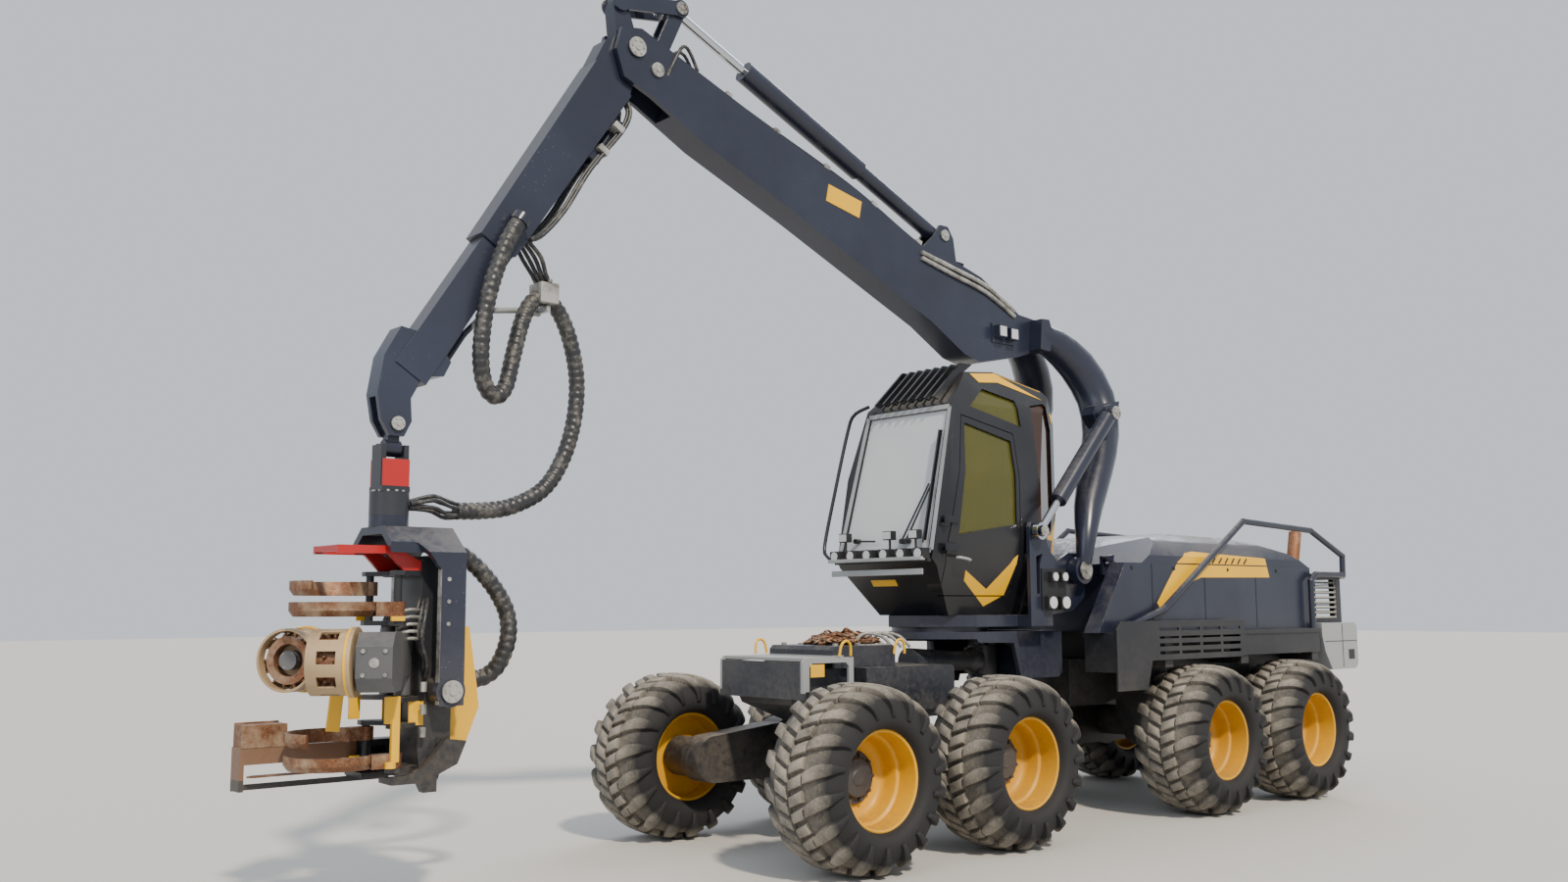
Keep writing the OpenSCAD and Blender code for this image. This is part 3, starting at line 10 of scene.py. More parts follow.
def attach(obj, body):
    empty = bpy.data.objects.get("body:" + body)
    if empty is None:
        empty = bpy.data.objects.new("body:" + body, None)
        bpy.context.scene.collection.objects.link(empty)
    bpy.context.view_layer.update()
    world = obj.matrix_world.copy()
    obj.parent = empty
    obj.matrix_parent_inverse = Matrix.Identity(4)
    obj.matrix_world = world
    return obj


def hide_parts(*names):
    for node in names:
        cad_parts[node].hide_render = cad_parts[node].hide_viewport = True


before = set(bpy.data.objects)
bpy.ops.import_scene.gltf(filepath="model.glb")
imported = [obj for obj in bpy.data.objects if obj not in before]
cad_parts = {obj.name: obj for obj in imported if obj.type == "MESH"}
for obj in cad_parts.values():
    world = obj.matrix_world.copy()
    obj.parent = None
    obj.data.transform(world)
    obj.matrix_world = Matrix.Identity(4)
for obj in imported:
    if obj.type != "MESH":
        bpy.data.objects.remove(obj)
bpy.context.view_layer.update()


# Camera: it stands low at the left front of the machine, about 12 m from the cab.
# Its place, angles and lens were solved from the outlines of five tyres and their rims.
EYE = Vector((8.73735655, 8.40856731, 1.87304501))
YAW, PITCH, ROLL = -2.28306251, 0.119339851, -0.00467021
FOCAL_PX, PICTURE_PX = 1416.99, 1600

ahead = Vector((math.cos(PITCH) * math.cos(YAW), math.cos(PITCH) * math.sin(YAW), math.sin(PITCH)))
right = Vector((math.sin(YAW), -math.cos(YAW), 0))
above = right.cross(ahead)
side = right * math.cos(ROLL) + above * math.sin(ROLL)
top = above * math.cos(ROLL) - right * math.sin(ROLL)
lens = bpy.data.cameras.new("camera")
lens.sensor_width = 36
lens.lens = FOCAL_PX / PICTURE_PX * lens.sensor_width
lens.clip_end = 300
camera = bpy.data.objects.new("camera", lens)
camera.matrix_world = Matrix.Translation(EYE) @ Matrix((side, top, -ahead)).transposed().to_4x4()
bpy.context.scene.collection.objects.link(camera)
bpy.context.scene.camera = camera


# Crane hoses: a bundle of hydraulic hoses in a black spiral-wound plastic guard, 120 mm across.
# The long one hangs from the jib in an S down to the rotator's collar, the short one goes
# from the yoke to the head. The guard's turns stand proud, so the tube swells at every turn.
HALFWAY = -1.215
SLEW = HALFWAY + 0.900
MAIN_ROUTE = [
    (4.350, 0.175, 4.504), (4.378, 0.175, 4.461), (4.440, 0.174, 4.345), (4.520, 0.170, 4.120),
    (4.580, 0.162, 3.860), (4.600, 0.150, 3.560), (4.555, 0.130, 3.370), (4.460, 0.105, 3.300),
    (4.370, 0.080, 3.380), (4.300, 0.050, 3.600), (4.220, 0.020, 3.850), (4.130, -0.005, 4.010),
    (4.020, -0.010, 4.060), (3.900, -0.020, 3.980), (3.800, -0.020, 3.780), (3.740, -0.020, 3.500),
    (3.760, -0.020, 3.200), (3.850, -0.020, 2.920), (4.010, -0.010, 2.700), (4.260, 0.000, 2.570),
    (4.480, 0.000, 2.530), (4.680, 0.000, 2.520),
]
HEAD_ROUTE = [
    (4.830, 0.000, 2.285), (4.700, 0.020, 2.260), (4.560, 0.040, 2.170), (4.420, 0.060, 2.020),
    (4.330, 0.080, 1.850), (4.320, 0.090, 1.680), (4.370, 0.060, 1.510), (4.450, 0.012, 1.425),
    (4.570, 0.000, 1.410),
]
GUARD_R = 0.060
TURN_PITCH = 0.052
TURN_SWELL = [0.0, -0.0025, -0.0075, -0.0025]
WELD = 2e-5


def at_crane(reach, y, z):
    return Vector((SLEW + reach, y, z))


def smooth_route(points, step):
    # Points at even steps along a smooth line through all the given ones
    fine = []
    last = len(points) - 1
    for i in range(last):
        a, b, c, d = points[max(i - 1, 0)], points[i], points[i + 1], points[min(i + 2, last)]
        for k in range(24):
            t = k / 24
            fine.append(0.5 * (2 * b + (c - a) * t + (2 * a - 5 * b + 4 * c - d) * t * t
                               + (3 * b - a - 3 * c + d) * t * t * t))
    fine.append(points[last].copy())
    total = sum((q - p).length for p, q in zip(fine, fine[1:]))
    count = max(2, round(total / step))
    even, gone, k = [fine[0]], 0.0, 0
    for n in range(1, count):
        target = total * n / count
        while gone + (fine[k + 1] - fine[k]).length < target:
            gone += (fine[k + 1] - fine[k]).length
            k += 1
        even.append(fine[k].lerp(fine[k + 1], (target - gone) / (fine[k + 1] - fine[k]).length))
    return even + [fine[-1]], total


def tube(shape, route, radius, sides=16):
    # Closed round tube along a route; radius is one value or one for each point
    radii = radius if isinstance(radius, list) else [radius] * len(route)
    last = len(route) - 1
    turn = heading = place = face = None
    for i, point in enumerate(route):
        now = (route[min(i + 1, last)] - route[max(i - 1, 0)]).normalized()
        turn = now.to_track_quat("Z", "Y") if turn is None else heading.rotation_difference(now) @ turn
        heading = now
        after = Matrix.LocRotScale(point, turn, Vector((radii[i], radii[i], radii[i])))
        if face is None:
            made = bmesh.ops.create_circle(shape, cap_ends=True, segments=sides, radius=1, matrix=after)
            ring = made["verts"]
            face = ring[0].link_faces[0]
        else:
            grown = bmesh.ops.extrude_face_region(shape, geom=[face])["geom"]
            ring = [v for v in grown if isinstance(v, bmesh.types.BMVert)]
            bmesh.ops.transform(shape, matrix=after @ place.inverted(), verts=ring)
            old = face
            face = next(f for f in grown if isinstance(f, bmesh.types.BMFace))
            if old.is_valid and i > 1:
                bmesh.ops.delete(shape, geom=[old], context="FACES_ONLY")
        place = after


def piece(name, shape, finish, body, angle=32, bevel=0.0):
    # Turns a finished bmesh into a shown piece that rides on a body
    bmesh.ops.remove_doubles(shape, verts=shape.verts, dist=WELD)
    bmesh.ops.recalc_face_normals(shape, faces=shape.faces)
    mesh = bpy.data.meshes.new(name)
    shape.to_mesh(mesh)
    shape.free()
    mesh.materials.append(finish)
    mesh.shade_smooth()
    mesh.set_sharp_from_angle(angle=math.radians(angle))
    thing = bpy.data.objects.new(name, mesh)
    bpy.context.scene.collection.objects.link(thing)
    if bevel:
        soft = thing.modifiers.new("Soft edges", "BEVEL")
        soft.width = bevel
        soft.segments = 2
        soft.limit_method = "ANGLE"
        soft.angle_limit = math.radians(40)
        soft.harden_normals = True
    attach(thing, body)
    return thing


def linear(code):
    # sRGB hex to linear colour
    parts = [int(code[i:i + 2], 16) / 255 for i in (1, 3, 5)]
    return [c / 12.92 if c <= 0.04045 else ((c + 0.055) / 1.055) ** 2.4 for c in parts] + [1.0]


def add(finish, kind, links=None, **settings):
    # Adds one node with its settings, and its inputs as values or links
    node = finish.node_tree.nodes.new(kind)
    for key, value in settings.items():
        setattr(node, key, value)
    for key, value in (links or {}).items():
        if isinstance(value, bpy.types.NodeSocket):
            finish.node_tree.links.new(value, node.inputs[key])
        else:
            node.inputs[key].default_value = value
    return node


def new_finish(name, **surface):
    # Empty material with one shader; surface gives the shader's own values
    finish = bpy.data.materials.new(name)
    finish.use_nodes = True
    finish.node_tree.nodes.clear()
    values = {key.replace("_", " "): value for key, value in surface.items()}
    shader = add(finish, "ShaderNodeBsdfPrincipled", values)
    add(finish, "ShaderNodeOutputMaterial", {"Surface": shader.outputs[0]})
    return finish, shader


def joined(finish, shader, **inputs):
    # Leads sockets to the shader's inputs
    for key, socket in inputs.items():
        finish.node_tree.links.new(socket, shader.inputs[key.replace("_", " ")])


def noise(finish, at, scale, detail, roughness):
    return add(finish, "ShaderNodeTexNoise", {
        "Vector": at, "Scale": scale, "Detail": detail, "Roughness": roughness
    }).outputs["Fac"]


def blend_two(finish, share, a, b):
    # Mixes two colours or numbers by a share
    return add(finish, "ShaderNodeMix", {0: share, 6: a, 7: b}, data_type="RGBA").outputs[2]


def spread(finish, value, low, high, to_low=0.0, to_high=1.0):
    # Stretches a number between two limits
    return add(finish, "ShaderNodeMapRange", {
        "Value": value, "From Min": low, "From Max": high, "To Min": to_low, "To Max": to_high
    }, clamp=True).outputs[0]


# PVC spiral guard: semi-gloss black plastic, scuffed grey and dusty where it rubs
guard_pvc, shader = new_finish("guard_pvc", Roughness=0.42)
place = add(guard_pvc, "ShaderNodeTexCoord").outputs["Object"]
scuffs = noise(guard_pvc, place, 14.0, 8.0, 0.7)
scuffed = spread(guard_pvc, scuffs, 0.50, 0.72)
tone = blend_two(guard_pvc, scuffed, linear("#26272a"), linear("#6b6862"))
joined(guard_pvc, shader, Base_Color=tone,
       Roughness=spread(guard_pvc, scuffs, 0.4, 0.7, 0.34, 0.65))


def guarded_hose(name, points, body):
    path, length = smooth_route([at_crane(*p) for p in points], TURN_PITCH / len(TURN_SWELL))
    radii = [GUARD_R + TURN_SWELL[i % len(TURN_SWELL)] for i in range(len(path))]
    shape = bmesh.new()
    tube(shape, path, radii, 24)
    hose = piece(name, shape, guard_pvc, body, angle=60)
    return hose, path, length


main_hose, main_path, main_length = guarded_hose("hose_loop", MAIN_ROUTE, "extension")
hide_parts("main_hose")
head_hose, head_path, head_length = guarded_hose("hose_head", HEAD_ROUTE, "tilt_frame")
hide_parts("head_hose")


# Studio: a plain pale floor and large soft lights, the strongest from the picture's upper left.
def plain(name, colour, **surface):
    # One colour all over
    finish, shader = new_finish(name, **surface)
    shader.inputs["Base Color"].default_value = linear(colour)
    return finish


floor_finish = plain("floor_paint", "#b9b7b2", Roughness=0.85)
ground = bmesh.new()
bmesh.ops.create_grid(ground, x_segments=1, y_segments=1, size=90)
floor_mesh = bpy.data.meshes.new("floor")
ground.to_mesh(floor_mesh)
ground.free()
floor_mesh.materials.append(floor_finish)
floor = bpy.data.objects.new("floor", floor_mesh)
bpy.context.scene.collection.objects.link(floor)

world = bpy.data.worlds.new("studio")
world.use_nodes = True
world.node_tree.nodes["Background"].inputs["Color"].default_value = linear("#e6ecf4")
world.node_tree.nodes["Background"].inputs["Strength"].default_value = 0.95
bpy.context.scene.world = world
LIGHTS = [
    # name, where it comes from, strength, softness in degrees, colour
    ("key", (0.25, 1.0, 1.0), 4.4, 4, "#fff2df"),
    ("fill", (1.0, 0.2, 0.5), 0.7, 40, "#eaf1ff"),
    ("rim", (-1.0, -0.6, 0.9), 1.2, 30, "#f2f5ff"),
]
for name, source, strength, softness, colour in LIGHTS:
    lamp = bpy.data.lights.new(name, "SUN")
    lamp.energy = strength
    lamp.angle = math.radians(softness)
    lamp.color = linear(colour)[:3]
    light = bpy.data.objects.new(name, lamp)
    light.rotation_euler = Vector(source).to_track_quat("Z", "Y").to_euler()
    bpy.context.scene.collection.objects.link(light)


# Tyres: 1.34 m high and 0.71 m wide, of black rubber with two staggered rows of centre blocks
# and long curved shoulder lugs. The tread is worn pale and dusty, the sidewalls stay dark.
# The real tyre is moulded; here the carcass is spun and each lug is laid onto it.
TYRE_HALF = [
    # across, radius: half of the carcass from the crown to the bead
    (0.000, 0.622), (0.060, 0.6215), (0.120, 0.619), (0.180, 0.612), (0.235, 0.598), (0.280, 0.575),
    (0.306, 0.540), (0.324, 0.500), (0.334, 0.458), (0.334, 0.420), (0.320, 0.388), (0.295, 0.366),
    (0.262, 0.354), (0.240, 0.340),
]
BLOCKS, LUGS = 36, 18


def on_tyre(angle, along, height):
    # Point of the tread: angle round the wheel, distance from the crown along the section, height
    side = 1 if along >= 0 else -1
    rest = abs(along)
    for (y0, r0), (y1, r1) in zip(TYRE_HALF, TYRE_HALF[1:]):
        reach = math.hypot(y1 - y0, r1 - r0)
        if rest <= reach:
            break
        rest -= reach
    share = rest / reach
    normal = Vector((r0 - r1, y1 - y0)).normalized()
    y = y0 + (y1 - y0) * share + normal.x * height
    r = r0 + (r1 - r0) * share + normal.y * height
    return Vector((r * math.cos(angle), side * y, r * math.sin(angle)))


def tread_lug(shape, rows, cells, centre, half_width, height, sink):
    # One lug: a small grid laid on the tyre; the functions take the share from inner to outer end
    grid = bmesh.ops.create_grid(shape, x_segments=cells, y_segments=rows, size=0.5)
    faces = list({f for v in grid["verts"] for f in v.link_faces})
    grown = bmesh.ops.extrude_face_region(shape, geom=faces)["geom"]
    tops = {v for v in grown if isinstance(v, bmesh.types.BMVert)}
    top_faces = [f for f in grown if isinstance(f, bmesh.types.BMFace)]
    for v in list(grid["verts"]) + list(tops):
        share = v.co.y + 0.5
        along, angle = centre(share)
        draft = 0.80 if v in tops else 1.0
        angle += v.co.x * 2 * half_width(share) * draft
        v.co = on_tyre(angle, along, height(share) if v in tops else -sink)
    bmesh.ops.delete(shape, geom=[f for f in faces if f.is_valid], context="FACES_ONLY")
    bmesh.ops.recalc_face_normals(shape, faces=top_faces)
    bmesh.ops.inset_region(shape, faces=top_faces, thickness=0.007, depth=0.005, use_even_offset=True,
                           use_boundary=True)


def tyre_shape():
    tread = bmesh.new()
    pitch = 2 * math.pi / BLOCKS
    for side, shift in ((1, 0.0), (-1, 0.5)):
        # Two neighbouring centre blocks and one shoulder lug, then spun round
        for k in range(2):
            start = (k + shift) * pitch
            tread_lug(tread, 2, 2, lambda t: (side * (0.010 + 0.118 * t), start + math.radians(4.5) * t),
                      lambda t: math.radians(3.7 + 0.5 * t), lambda t: 0.0415 - 0.001 * t, 0.01)
        start = shift * pitch
        tread_lug(
            tread, 9, 2,
            lambda t: (side * (0.140 + 0.290 * t), start + math.radians(5 + 16 * t - 6 * t * t)),
            lambda t: math.radians(3.6 + 2.2 * math.sin(math.pi * min(1, 1.2 * t)) - 1.0 * t),
            lambda t: 0.040 - 0.004 * t if t < 0.70 else 0.0372 - 0.080 * (t - 0.70), 0.012)
    bmesh.ops.spin(tread, geom=tread.verts[:] + tread.edges[:] + tread.faces[:], cent=(0, 0, 0),
                   axis=(0, -1, 0), dvec=(0, 0, 0), angle=2 * math.pi * (LUGS - 1) / LUGS, steps=LUGS - 1,
                   use_duplicate=True)
    whole = [(y, r) for y, r in reversed(TYRE_HALF)] + [(-y, r) for y, r in TYRE_HALF[1:]]
    points = [tread.verts.new((r, y, 0)) for y, r in whole]
    edges = [tread.edges.new(pair) for pair in zip(points, points[1:])]
    bmesh.ops.spin(tread, geom=points + edges, cent=(0, 0, 0), axis=(0, -1, 0), dvec=(0, 0, 0),
                   angle=2 * math.pi, steps=108, use_merge=True)
    return tread


def maths(finish, operation, a, b):
    return add(finish, "ShaderNodeMath", {0: a, 1: b}, operation=operation).outputs[0]


def rippled(finish, height, strength, distance):
    # Small unevenness of the surface
    return add(finish, "ShaderNodeBump", {
        "Height": height, "Strength": strength, "Distance": distance
    }).outputs[0]


# Moulded rubber: near black, greyed and dusted beige towards the lugs' tops
def tyre_rubber(name, centre):
    rubber, shader = new_finish(name, Roughness=0.78)
    spot = add(rubber, "ShaderNodeTexCoord").outputs["Object"]
    local = add(rubber, "ShaderNodeMapping", {"Vector": spot, "Location": [-c for c in centre]}).outputs[0]
    parts = add(rubber, "ShaderNodeSeparateXYZ", {0: local}).outputs
    flat = add(rubber, "ShaderNodeCombineXYZ", {"X": parts["X"], "Z": parts["Z"]}).outputs[0]
    radius = add(rubber, "ShaderNodeVectorMath", {0: flat}, operation="LENGTH").outputs["Value"]
    grain = noise(rubber, local, 5.0, 8.0, 0.65)
    fine = noise(rubber, local, 60.0, 5.0, 0.6)
    worn = spread(rubber, radius, 0.560, 0.650)
    greyed = maths(rubber, "MULTIPLY", worn, spread(rubber, grain, 0.30, 0.66, 0.25, 1.0))
    base = blend_two(rubber, greyed, linear("#19191b"), linear("#918b80"))
    dusty = maths(rubber, "MULTIPLY", spread(rubber, fine, 0.52, 0.70), greyed)
    tone = blend_two(rubber, dusty, base, linear("#a0937d"))
    joined(rubber, shader, Base_Color=tone, Normal=rippled(rubber, fine, 0.35, 0.004))
    return rubber


WHEELS = [
    # name, along the machine, side
    ("fl1", 2.98, 1), ("fr1", 2.98, -1), ("fl2", 1.38, 1), ("fr2", 1.38, -1),
    ("rl1", -1.38, 1), ("rr1", -1.38, -1), ("rl2", -2.98, 1), ("rr2", -2.98, -1),
]
WHEEL_Y = 1.11
AXLE_Z = 0.67


def wheel_place(x, side, turn):
    # The shapes are made with the wheel's outer side towards +Y
    lie = Matrix.Rotation(math.radians(turn), 4, "Y")
    flip = Matrix.Rotation(math.pi, 4, "Z") if side < 0 else Matrix.Identity(4)
    return Matrix.Translation((x + HALFWAY, side * WHEEL_Y, AXLE_Z)) @ flip @ lie


for number, (name, x, side) in enumerate(WHEELS):
    shape = tyre_shape()
    # The lugs point the same way on both sides, so a right tyre is mirrored, not turned round
    if side < 0:
        bmesh.ops.scale(shape, vec=(1, -1, 1), verts=shape.verts)
        bmesh.ops.reverse_faces(shape, faces=shape.faces)
    spot = Matrix.Translation((x + HALFWAY, side * WHEEL_Y, AXLE_Z))
    turned = spot @ Matrix.Rotation(math.radians(7 * number), 4, "Y")
    bmesh.ops.transform(shape, matrix=turned, verts=shape.verts)
    rubber = tyre_rubber("rubber_" + name, spot.translation)
    tyre = piece("tread_" + name, shape, rubber, "wheel_" + name, angle=38)
    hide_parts("tyre_" + name)


# Rims: pressed and welded steel in yellow enamel, with a deep dish and a dark cast hub drum
# held by a ring of nuts. The yellow is dusty and chipped.
RIM_SECTION = [
    # radius, outwards: a closed section through the rim and its disc
    (0.340, 0.232), (0.357, 0.246), (0.357, 0.260), (0.346, 0.264), (0.334, 0.258), (0.330, 0.236),
    (0.327, 0.150), (0.322, 0.104), (0.303, 0.090), (0.296, 0.070), (0.294, 0.000), (0.284, -0.030),
    (0.262, -0.048), (0.225, -0.056), (0.120, -0.058), (0.120, -0.080), (0.225, -0.080),
    (0.300, -0.086), (0.322, -0.104), (0.327, -0.150), (0.330, -0.236), (0.334, -0.258),
    (0.346, -0.262), (0.357, -0.258), (0.357, -0.246), (0.340, -0.232), (0.340, 0.232),
]
HUB_SECTION = [
    (0.192, -0.060), (0.192, -0.038), (0.186, -0.030), (0.150, -0.028), (0.142, -0.022), (0.138, 0.006),
    (0.130, 0.014), (0.060, 0.018), (0.052, 0.024), (0.000, 0.026),
]
NUTS, NUT_R, VALVE_R = 10, 0.167, 0.255


def lathe(shape, section, place, steps=64):
    # Spins a section of radius and height round a place's own Z axis
    points = [shape.verts.new(place @ Vector((r, 0, h))) for r, h in section]
    edges = [shape.edges.new(pair) for pair in zip(points, points[1:])]
    bmesh.ops.spin(shape, geom=points + edges, cent=place.translation, dvec=(0, 0, 0),
                   axis=place.to_3x3() @ Vector((0, 0, 1)), angle=2 * math.pi, steps=steps, use_merge=True)


def bar(shape, a, b, radius, end=None, sides=20):
    # Round bar or cone between two points
    a, b = Vector(a), Vector(b)
    spot = Matrix.LocRotScale((a + b) / 2, (b - a).to_track_quat("Z", "Y"), None)
    bmesh.ops.create_cone(shape, cap_ends=True, segments=sides, radius1=radius,
                          radius2=radius if end is None else end, depth=(b - a).length, matrix=spot)


def bars_round(shape, place, count, a, b, radius, axis="X", end=None, sides=6, start=0.0):
    # Ring of short bars, given by the first of them in the place's own space
    for k in range(count):
        turned = place @ Matrix.Rotation(2 * math.pi * (k + start) / count, 4, axis)
        bar(shape, turned @ Vector(a), turned @ Vector(b), radius, end, sides)


def inside(paint, spot, low, high):
    # 1 within a box given from the slewing axis, 0 outside
    share = 1.0
    parts = add(paint, "ShaderNodeSeparateXYZ", {0: spot}).outputs
    for axis, a, b in zip("XYZ", at_crane(*low), at_crane(*high)):
        near = {0: parts[axis], 1: (a + b) / 2, 2: abs(b - a) / 2}
        within = add(paint, "ShaderNodeMath", near, operation="COMPARE").outputs[0]
        share = maths(paint, "MULTIPLY", within, share)
    return share


# Two-pack paint on steel: a slow change of tone, dust on what looks up, and chips to the primer
def painted(name, colour, faded, roughness=0.38, dust="#9b8f7c", dusty=0.55, chips="#6f7276", chipped=0.5,
            areas=()):
    paint, shader = new_finish(name, Roughness=roughness)
    spot = add(paint, "ShaderNodeTexCoord").outputs["Object"]
    facing = add(paint, "ShaderNodeNewGeometry").outputs["Normal"]
    slow = noise(paint, spot, 1.1, 5.0, 0.6)
    fine = noise(paint, spot, 22.0, 8.0, 0.72)
    tone = blend_two(paint, spread(paint, slow, 0.35, 0.65), linear(colour), linear(faded))
    for low, high, other in areas:
        tone = blend_two(paint, inside(paint, spot, low, high), tone, linear(other))
    upward = spread(paint, add(paint, "ShaderNodeSeparateXYZ", {0: facing}).outputs["Z"], 0.35, 1.0)
    lower = spread(paint, add(paint, "ShaderNodeSeparateXYZ", {0: spot}).outputs["Z"], 1.9, 0.9, 0.0, 0.35)
    lies = maths(paint, "MAXIMUM", upward, lower)
    patch = spread(paint, maths(paint, "ADD", slow, fine), 0.85, 1.15)
    film = maths(paint, "MULTIPLY", maths(paint, "MULTIPLY", patch, lies), dusty)
    dusted = blend_two(paint, film, tone, linear(dust))
    flakes = add(paint, "ShaderNodeTexVoronoi", {"Vector": spot, "Scale": 30.0}, feature="F1")
    holes = spread(paint, flakes.outputs["Distance"], 0.16, 0.12)
    bare = maths(paint, "MULTIPLY", holes, spread(paint, slow, 0.56, 0.66, 0.0, chipped))
    joined(paint, shader, Base_Color=blend_two(paint, bare, dusted, linear(chips)),
           Roughness=spread(paint, film, 0.0, 0.6, roughness, 0.85), Normal=rippled(paint, fine, 0.12, 0.002))
    return paint


yellow_enamel = painted("yellow_enamel", "#dca30d", "#c9920f", 0.40, dust="#8a6a3a", dusty=0.5,
                        chips="#4a3a26")
hub_paint = painted("hub_paint", "#2a2b30", "#37373a", 0.5, dust="#6a6258", dusty=0.5)
zinc = plain("zinc_plate", "#a9a9a6", Metallic=1.0, Roughness=0.38)

for number, (name, x, side) in enumerate(WHEELS):
    spot = wheel_place(x, side, 11 * number) @ Matrix.Rotation(-math.pi / 2, 4, "X")
    shape = bmesh.new()
    lathe(shape, RIM_SECTION, spot, 72)
    rim = piece("rim_steel_" + name, shape, yellow_enamel, "wheel_" + name, angle=34)
    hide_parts("rim_" + name)
    shape = bmesh.new()
    lathe(shape, HUB_SECTION, spot, 48)
    bars_round(shape, spot, NUTS, (NUT_R, 0, -0.032), (NUT_R, 0, -0.010), 0.016, axis="Z")
    piece("hub_" + name, shape, hub_paint, "wheel_" + name, angle=30)
    shape = bmesh.new()
    bars_round(shape, spot, 1, (VALVE_R, 0, -0.050), (VALVE_R, 0, -0.018), 0.020, end=0.014, sides=12)
    piece("valve_" + name, shape, zinc, "wheel_" + name)


# Frame, hood, cab and crane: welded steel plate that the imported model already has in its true
# shape. Each keeps its node; its edges are eased as ground and painted edges are, and what is
# painted in another colour is marked off by boxes of (reach, y, z) in the paint.
YELLOW, GREY, RED, RUST = "#dfaa0e", "#8d9092", "#a81d1d", "#6a4c38"


def both_sides(low, high, colour):
    # A box on the near side and its twin on the far side
    (x0, y0, z0), (x1, y1, z1) = low, high
    return [(low, high, colour), ((x0, -y1, z0), (x1, -y0, z1), colour)]


charcoal = painted("charcoal_paint", "#1d2130", "#262b3a", 0.28, dust="#8b8478", dusty=0.4,
                   chips="#7c7d80", chipped=0.3)
cab_paint = painted("cab_paint", "#141519", "#1e1f24", 0.26, dust="#77705f", dusty=0.3,
                    chips="#5d5d5f", chipped=0.2)
motor_paint = painted("motor_paint", "#46484b", "#57585a", 0.34, dust="#7d705e", dusty=0.4,
                      chips="#aaa39a", chipped=1.0)
dark = painted("chassis_paint", "#17191e", "#22242a", 0.42, dust="#8b7f6d", dusty=0.6, chips="#54504a")
front_paint = painted(
    "front_paint", "#1f222b", "#2a2d36", 0.4, dust="#8d8676", dusty=0.7,
    areas=both_sides((1.515, 0.475, 1.23), (2.08, 0.502, 1.50), GREY)
    + [((1.515, -0.502, 1.465), (2.08, 0.502, 1.50), GREY)])
panel_paint = painted("panel_paint", "#15171c", "#1f2127", 0.42, dust="#8f836f", dusty=0.35,
                      areas=[((-5.40, -1.2, 1.1), (-4.566, 1.2, 1.8), GREY)])
grille_paint = painted("grille_paint", "#1b1d23", "#25272d", 0.42, dust="#8f836f",
                       areas=both_sides((-5.17, 0.90, 1.73), (-4.62, 0.975, 2.15), "#a0a09a"))
head_paint = painted(
    "head_paint", "#1a1c21", "#26272c", 0.36, dust="#857763", dusty=0.5, chips="#8a7a66", chipped=0.9,
    areas=[((4.50, -0.156, 0.95), (4.7995, 0.156, 1.80), YELLOW)]
    + both_sides((5.008, 0.159, 2.117), (5.60, 0.191, 2.28), RED)
    + [((5.15, -0.20, 2.23), (5.60, 0.20, 2.28), RED), ((5.185, -0.45, 0.84), (5.95, -0.29, 1.04), RUST)])
rotator_paint = painted("rotator_paint", "#22252c", "#2e3036", 0.38, chips="#8a8a88", chipped=0.8,
                        areas=both_sides((5.04, 0.0745, 2.657), (5.26, 0.097, 2.85), RED))
slide_paint = painted("slide_paint", "#242836", "#2c3142", 0.30, dusty=0.4,
                      areas=[((3.9, -0.13, 3.40), (4.55, 0.06, 4.02), GREY)])
roller_steel = painted("roller_steel", "#b39a75", "#8f7a5e", 0.5, dust="#5f4a36", dusty=0.6,
                       chips="#4a3a2c", chipped=1.0)
rod_chrome = plain("rod_chrome", "#c9ccd2", Metallic=1.0, Roughness=0.14)


# Bark-rubbed steel: brown rust with bright rubbed patches
def rubbed_steel(name, rust, deep, bright, share):
    steel, shader = new_finish(name, Metallic=0.45, Roughness=0.5)
    spot = add(steel, "ShaderNodeTexCoord").outputs["Object"]
    slow = noise(steel, spot, 5.0, 9.0, 0.7)
    fine = noise(steel, spot, 70.0, 6.0, 0.7)
    rusty = blend_two(steel, spread(steel, fine, 0.35, 0.65), linear(deep), linear(rust))
    rubbed = blend_two(steel, spread(steel, slow, share - 0.08, share + 0.12), rusty, linear(bright))
    joined(steel, shader, Base_Color=rubbed, Normal=rippled(steel, fine, 0.3, 0.002))
    return steel


worn_steel = rubbed_steel("worn_steel", "#84583a", "#553624", "#a08a72", 0.54)
scorched = rubbed_steel("scorched_steel", "#9a6a48", "#7a4c33", "#b59a82", 0.60)

lamp_shell = plain("lamp_shell", "#1c1d20", Roughness=0.5)
cushion_cloth = plain("seat_cloth", "#26272b", Roughness=0.9)

NODE_FINISH = {
    cab_paint: ["cab_shell", "cab_door"],
    motor_paint: ["feed_arm_left", "feed_arm_right"],
    charcoal: ["mid_frame", "cowl", "hood", "guard_rails", "turntable", "boom", "jib",
               "lift_barrels", "jib_barrel", "rocker", "rocker_link", "tip_link", "tilt_frame"],
    front_paint: ["front_frame"],
    dark: ["front_bogies", "rear_bogies", "rear_frame"],
    panel_paint: ["body_panels"],
    grille_paint: ["rear_grille"],
    head_paint: ["head_frame"],
    rotator_paint: ["rotator"],
    slide_paint: ["extension"],
    rod_chrome: ["lift_rods", "jib_rod"],
    roller_steel: ["feed_roller_left", "feed_roller_right"],
    worn_steel: ["upper_knife_left", "upper_knife_right", "lower_knife_left", "lower_knife_right", "saw_bar"],
    scorched: ["exhaust"],
    hub_paint: ["engine"],
    lamp_shell: ["work_lights"],
    cushion_cloth: ["operator_seat"],
}
